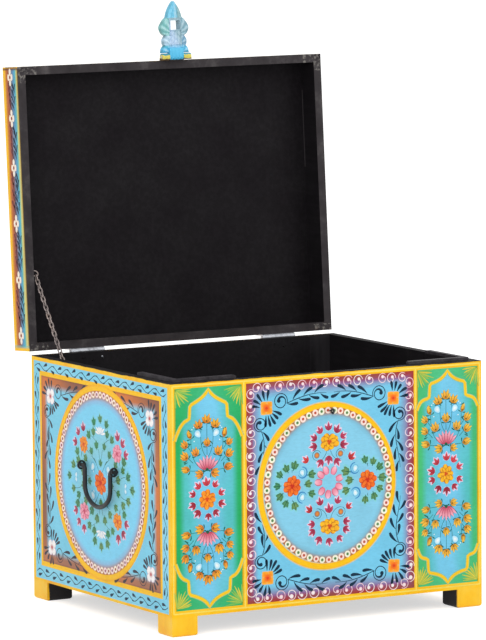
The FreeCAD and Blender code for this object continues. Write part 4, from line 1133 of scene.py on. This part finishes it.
def block_material():
    """The hasp's yellow block: dark where it meets the lid, and blue paint on top of its ears."""
    shader = Shader("yellow_block", specular=0.2)
    # Darker brown at the foot of the ears, where they meet the lid.
    low = shader.below(lid_up, shader.math("ADD", lid_end, shader.ragged(2.0 * MM, 4.0 * MM, 0.006)))
    high = shader.above(lid_up, shader.math("ADD", lid_end, shader.ragged(6.5 * MM, 8.5 * MM, 0.006)))
    dark_foot = shader.tones(0.005, [(0.35, paint(58, 42, 26)), (0.7, paint(128, 98, 40))])
    pale = shader.tones(0.006, [(0.35, paint(206, 196, 90)), (0.7, paint(236, 222, 112))])
    blue = shader.tones(0.005, [(0.35, paint(44, 128, 150)), (0.7, paint(104, 178, 190))])
    colour = shader.mix(low, shader.mix(high, pale, blue), dark_foot)
    return shader.finish(colour, 0.4, shader.noise(0.002), 0.2)


def black_material():
    shader = Shader("black_lacquer", specular=0.1)
    return shader.finish(lacquer_black(shader), 0.6, shader.noise(0.004), 0.12)


def ornament_material():
    """Brushed paint in the colours that the motifs carry."""
    shader = Shader("ornament_paint", specular=0.14)
    tone = shader.node("Attribute", attribute_name="paint").outputs["Color"]
    patches = shader.tones(0.045, [(0.25, 0.91), (0.5, 1.0), (0.8, 1.05)], 5.0)
    streaks = shader.tones(0.002, [(0.3, 0.93), (0.6, 1.02)], 3.0, 0.6, (0.3, 0.3, 1))
    toned = shader.mix(1.0, shader.mix(1.0, tone, patches, "MULTIPLY"), streaks, "MULTIPLY")
    rough = shader.tones(0.02, [(0.3, 0.28), (0.7, 0.42)])
    return shader.finish(toned, rough, shader.noise(0.0018, 3.0, 0.6, (0.35, 0.35, 1)), 0.12, 0.0003)


def iron_material():
    """Blackened iron with a few rubbed and rusty spots."""
    shader = Shader("black_iron", specular=0.4)
    blacks = [(0.35, paint(14, 15, 18)), (0.65, paint(28, 28, 30)), (0.85, paint(58, 46, 38))]
    colour = shader.tones(0.004, blacks, 4.0)
    rough = shader.tones(0.003, [(0.3, 0.34), (0.7, 0.55)])
    return shader.finish(colour, rough, shader.noise(0.0016, 4.0), 0.35, 0.0006)


def steel_material(name, dark, bright, rust):
    """Dull steel with darker and browner patches; all but one of the tips inside the box are black."""
    shader = Shader(name, metallic=0.8)
    colour = shader.tones(0.012, [(0.3, dark), (0.55, bright), (0.8, rust)], 4.0)
    if name == "plain_steel":
        bare = shader.inside(((X, *BARE_SCREW),))
        painted = shader.math("SUBTRACT", shader.below(Y, back_y - 12.5 * MM), bare)
        colour = shader.mix(painted, colour, paint(26, 24, 26))
    rough = shader.tones(0.002, [(0.3, 0.34), (0.7, 0.58)])
    return shader.finish(colour, rough, shader.noise(0.001, 4.0), 0.25, 0.0003)


# Carved and moving pieces

HASP_HALF, HASP_HEIGHT, HASP_BASE = 23.0, 85.0, 10.6
SLOT_HALF, SLOT_LOW, SLOT_HIGH = 7.75, 44.0, 57.0
PIN_HEIGHT, PIN_FORWARD, KNUCKLE_RADIUS = 5.0, 3.3, 4.4


def hasp_shape():
    """Half of the hasp's outline from its base to its tip, in millimetres from the lid's face."""
    def at(u, v):
        return u * HASP_HALF, v * HASP_HEIGHT

    def through(start, bulge, end, count=8):
        """A curve through three points."""
        control = tuple(2 * b - (a + c) / 2 for a, b, c in zip(start, bulge, end))
        return [tuple((1 - t) ** 2 * a + 2 * t * (1 - t) * b + t * t * c
                      for a, b, c in zip(start, control, end)) for t in (n / count for n in range(count))]

    return (through(at(0.97, 0.125), at(0.885, 0.2), at(0.76, 0.25))
            + through(at(0.76, 0.25), at(0.83, 0.325), at(0.69, 0.415))
            + through(at(0.69, 0.415), at(1.0, 0.54), at(0.7, 0.69)) + [at(0.7, 0.69)]
            + through(at(0.52, 0.73), at(0.34, 0.87), at(0.0, 1.0)) + [at(0.0, 1.0)])


def hasp_distance(outline, u, v):
    """How far a point lies from the outline, and whether it lies inside."""
    best, hit = 99.0, False
    for (a, b), (c, d) in zip(outline, outline[1:] + outline[:1]):
        if (b > v) != (d > v) and u < (c - a) * (v - b) / (d - b) + a:
            hit = not hit
        length = (c - a) ** 2 + (d - b) ** 2 or 1.0
        t = min(max(((u - a) * (c - a) + (v - b) * (d - b)) / length, 0), 1)
        best = min(best, math.hypot(u - a - t * (c - a), v - b - t * (d - b)))
    return best, hit


def groove(distance, width):
    return max(1 - abs(distance) / width, 0.0)


def hasp_relief(u, v, edge):
    """Height above the middle plane, and a tone from 0 in the grooves to 1 on the ridges, which darkens the
    grooves with dark outline paint and painted shade and lightens the ridges with a painted highlight.
    """
    height = 3.9 + 2.6 * min(edge / 4.5, 1) ** 0.6
    tone = 0.56 - 0.3 * groove(edge, 1.3) + 0.12 * groove(edge - 3.2, 1.2)
    tone += 0.12 * math.sin(0.9 * u + 0.3 * v) * math.sin(0.5 * v - 0.4 * u)
    away = abs(u)
    if v > 60:
        cut = groove(away - (84 - v) * 0.2 - 0.6, 1.2)
        height += 0.5 * groove(u, 2.5) - 0.8 * cut
        tone += 0.34 * groove(u, 2.5) - 0.26 * cut - 0.14 * groove(math.sin(u * 1.1 + v * 0.28), 0.5)
    else:
        body = 9.8 + 1.4 * math.sin(v / 9)
        cut = groove(away - body, 1.3)
        height -= 0.7 * cut
        tone -= 0.22 * cut
        if away > body:
            root = 38 if v > 36 else (22 if v > 21.5 else 8)
            vein = math.cos(11 * math.atan2(v - root, away - 5) + 0.5)
            height += 0.5 * vein - 0.3
            tone += 0.24 * vein - 0.2 * groove(edge - 2.6, 0.8)
        elif v < SLOT_LOW - 1:
            lobe = groove(away * 1.25 + v - 41.5, 1.3) + groove(away * 1.4 + v - 31, 1.2)
            height -= 0.6 * min(lobe, 1)
            tone -= 0.16 * min(lobe, 1) - 0.1 * math.cos(u * 1.3)
    between_lobes = groove(v - 35.5 + (away - 9) * 0.1, 1.3) if 8 < away else 0
    lines = max(between_lobes, groove(v - 21.5, 1.4), groove(v - SLOT_LOW + 2.2, 0.9) if away < 9.5 else 0)
    return max(min(height - 0.9 * lines, 7.4), 2.6), min(max(tone - 0.25 * lines, 0), 1)


def hasp_colour(u, v, tone):
    """Washed blue paint: pale in the middle, sky at the tip and bright at the neck; dark teal in the grooves,
    outline paint and painted shade, and near white on the ridges, a painted highlight.
    """
    if v > 61:
        base = blended(paint(122, 208, 240), paint(140, 184, 190), (u - 1) / 4)
    elif abs(u) > 10:
        if v > 35.5:
            base = paint(136, 200, 198) if u < 0 else paint(142, 182, 196)
        elif v > 21.5:
            base = paint(186, 216, 236) if u < 0 else paint(128, 172, 200)
        else:
            base = paint(100, 190, 200) if u < 0 else paint(104, 178, 214)
    else:
        base = blended(paint(180, 206, 234), paint(152, 184, 196), (u + 7) / 9 + (v - 42) / 20)
    base = blended(paint(92, 190, 230), base, (v - 17) / 6)
    # Dark teal for the grooves, partly outline paint and partly painted shade; near white for the ridges, a
    # painted highlight.
    dark, light = blended(base, paint(48, 108, 116), 0.55), blended(base, paint(228, 248, 255), 0.55)
    return blended(dark, base, tone * 2) if tone < 0.5 else blended(base, light, tone * 2 - 1)


def carved_hasp(material):
    """The wooden hasp: a body with a slot, leaf lobes with veins, and a ridged tip."""
    half = hasp_shape()
    outline = half + [(-u, v) for u, v in half[-2::-1]]
    slot = [(-SLOT_HALF, SLOT_LOW), (SLOT_HALF, SLOT_LOW), (SLOT_HALF, SLOT_HIGH), (-SLOT_HALF, SLOT_HIGH)]
    step, inner = 0.95, []
    for j in range(int((HASP_HEIGHT - HASP_BASE) / step) + 1):
        for i in range(-25, 26):
            u, v = i * step, HASP_BASE + 0.5 + j * step
            in_slot = abs(u) < SLOT_HALF + 0.5 and SLOT_LOW - 0.5 < v < SLOT_HIGH + 0.5
            distance, hit = hasp_distance(outline, u, v)
            if hit and not in_slot and distance > 0.5:
                inner.append((u, v))
    points = outline + slot + inner
    rim, hole = len(outline), len(slot)
    edges = [(n, (n + 1) % rim) for n in range(rim)] + [(rim + n, rim + (n + 1) % hole) for n in range(hole)]
    inside_only, nearest = 1, 0.001
    flat, _, triangles, *_ = delaunay_2d_cdt([Vector(p) for p in points], edges, [], inside_only, nearest)
    kept = []
    for face in triangles:
        u, v = (sum(flat[k][axis] for k in face) / 3 for axis in (0, 1))
        if not (abs(u) < SLOT_HALF and SLOT_LOW < v < SLOT_HIGH):
            kept.append(tuple(face))

    forward = lid_out * ((hasp_pivot - hinge).dot(lid_out) + PIN_FORWARD * MM)
    canvas = Canvas(lid_face + X * hasp_pivot.x + forward, X, lid_up, -lid_out)
    relief = [hasp_relief(p.x, p.y, hasp_distance(outline, p.x, p.y)[0]) for p in flat]
    total = len(flat)
    sheets = [(p.x, p.y, way * height) for way in (1, -1) for p, (height, _) in zip(flat, relief)]
    colours = [hasp_colour(p.x, p.y, tone) for p, (_, tone) in zip(flat, relief)] * 2
    faces = kept + [tuple(total + k for k in face[::-1]) for face in kept]
    borders = {(a, b) for face in kept for a, b in zip(face, face[1:] + face[:1])}
    faces += [(b, a, total + a, total + b) for a, b in sorted(borders) if (b, a) not in borders]
    canvas.add(sheets, colours, faces)
    add_knuckle(canvas)
    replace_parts(canvas.piece("carved_hasp", "hasp", material), "hasp")


def add_knuckle(canvas):
    """The hasp's neck and its round knuckle, with shallow flutes."""
    half, flutes, count, top = 11.2, 28, 24, 17.4
    profile = [(top, 1)]
    for n in range(count + 1):
        angle = math.pi * n / count
        profile.append((PIN_HEIGHT - KNUCKLE_RADIUS * math.sin(angle), math.cos(angle)))
    profile.append((top, -1))
    points, colours, faces = [], [], []
    for i in range(flutes + 1):
        u = -half + 2 * half * i / flutes
        ridge = math.cos(2 * math.pi * u / 5.6)
        for v, out in profile:
            points.append((u, v, PIN_FORWARD + out * (KNUCKLE_RADIUS - 0.05 + 0.03 * ridge)))
            # The flutes' ridges are a little lighter, a painted highlight; the blue grows paler away from the
            # lid's face, with dark teal marks near it.
            base = blended(paint(58, 178, 226), paint(110, 204, 240), 0.4 + 0.04 * ridge + v / 40)
            mark = max(math.sin(u * 1.7 + 1) * math.sin(u * 0.6 + v), 0) * max(1 - v / 7, 0)
            colours.append(blended(base, paint(20, 96, 112), mark))
    across = len(profile)
    for i in range(flutes):
        faces += strip(i * across, (i + 1) * across, across)
    faces.append(tuple(range(across))[::-1])
    faces.append(tuple(flutes * across + k for k in range(across)))
    canvas.add(points, colours, faces)


def chain_piece(material):
    """The chain again as one mesh, in the place of the CAD's chain; the real one goes slack between its two
    eyes when the lid shuts.
    """
    mesh = frame["nodes"]["chain"].data.copy()
    mesh.name = "chain_stay"
    mesh.materials.clear()
    mesh.materials.append(material)
    item = placed("chain_stay", mesh)
    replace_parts(item, "chain")
    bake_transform(item)


def dress_nodes():
    """Gives every CAD node its procedural material, and returns the chain's."""
    iron, rails, box, black = iron_material(), rail_material(), box_material(), black_material()
    steel = steel_material("plain_steel", paint(142, 144, 150), paint(198, 201, 208), paint(172, 170, 170))
    chain = steel_material("chain_steel", paint(100, 92, 92), paint(156, 144, 140), paint(132, 114, 102))
    looks = (("chain", chain), ("hinge_", steel), ("box_hinge_screws", steel), ("lid_hinge_screws", steel),
             ("hasp_pin", steel), ("handle_", iron), ("front_catch", iron), ("foot_screws", black),
             ("bottom_board", black), ("foot_", foot_material()), ("hasp", block_material()),
             ("lid_top", lid_material()), ("lid_", rails))
    battens = batten_material()
    for name, item in frame["nodes"].items():
        chosen = next((look for start, look in looks if name.startswith(start)), box)
        item.data.materials.clear()
        item.data.materials.append(battens if "batten" in name else chosen)
    return chain


# Stage, light and camera

def make_floor():
    """A wide pale floor that looks white where nothing shades it."""
    bpy.ops.mesh.primitive_plane_add(size=60.0, location=(0, 0, 0))
    floor = bpy.context.object
    floor.name = "floor"
    shader = Shader("pale_floor", specular=0.0, roughness=0.95)
    shader.dress({"Base Color": (0.93, 0.93, 0.93, 1), "Emission Color": (1, 1, 1, 1),
                  "Emission Strength": shader.by_ray(0.0, 0.6)})
    floor.data.materials.append(shader.material)


def make_world():
    """A white surround for the camera and for reflections, and a softer one for light."""
    world = bpy.data.worlds.new("studio")
    bpy.context.scene.world = world
    world.use_nodes = True
    nodes = Nodes(world.node_tree)
    background = nodes.tree.nodes["Background"].inputs
    nodes.feed(background["Color"], (1, 1, 1, 1))
    nodes.feed(background["Strength"], nodes.by_ray(0.67, 1.0))


def area_light(name, place, size, energy):
    lamp = bpy.data.lights.new(name, "AREA")
    lamp.shape = "SQUARE"
    lamp.size, lamp.energy = size, energy
    item = placed(name, lamp)
    item.location = place
    item.rotation_mode = "QUATERNION"
    item.rotation_quaternion = (Z * LOOK_HEIGHT - Vector(place)).to_track_quat("-Z", "Y")


def make_camera():
    """The photograph's view, from a fit to the corners of the box and the lid."""
    azimuth, elevation, roll = math.radians(-29.959), math.radians(6.809), math.radians(-0.396)
    distance, focal_px, long_side_px = 7.7488, 5483.0, 640.0
    right_px, down_px = 11.87, 37.03
    back = Vector((math.sin(azimuth) * math.cos(elevation), -math.cos(azimuth) * math.cos(elevation),
                   math.sin(elevation)))
    right = (-back).cross(Z).normalized()
    up = right.cross(-back)
    right, up = right * math.cos(roll) + up * math.sin(roll), up * math.cos(roll) - right * math.sin(roll)
    target = Vector((0, middle_y, LOOK_HEIGHT))
    place = target + back * distance
    aim = target - right * (right_px / focal_px * distance) + up * (down_px / focal_px * distance)
    view = (aim - place).normalized()
    side = view.cross(up).normalized()
    data = bpy.data.cameras.new("camera")
    data.sensor_width = 36.0
    data.lens = focal_px / long_side_px * data.sensor_width
    data.clip_end = 60.0
    camera = placed("camera", data)
    turn = Matrix((side, side.cross(view), -view)).transposed().to_4x4()
    camera.matrix_world = Matrix.Translation(place) @ turn
    bpy.context.scene.camera = camera


ornament = ornament_material()
chain_look = dress_nodes()
paint_front(ornament)
paint_side("left_ornament", -1, ornament)
paint_side("right_ornament", 1, ornament)
paint_lid_side("lid_left_ornament", -1, ornament)
paint_lid_side("lid_right_ornament", 1, ornament)
paint_lid_front(ornament)
paint_lid_top(ornament)
carved_hasp(ornament)
chain_piece(chain_look)
make_floor()
make_world()
area_light("key", (-2.6, -3.0, 2.4), 2.8, 66)
area_light("fill", (3.0, -3.2, 1.6), 2.6, 25)
area_light("top", (0.2, 0.4, 3.6), 3.0, 20)
make_camera()
bpy.context.scene.view_settings.view_transform = "Standard"
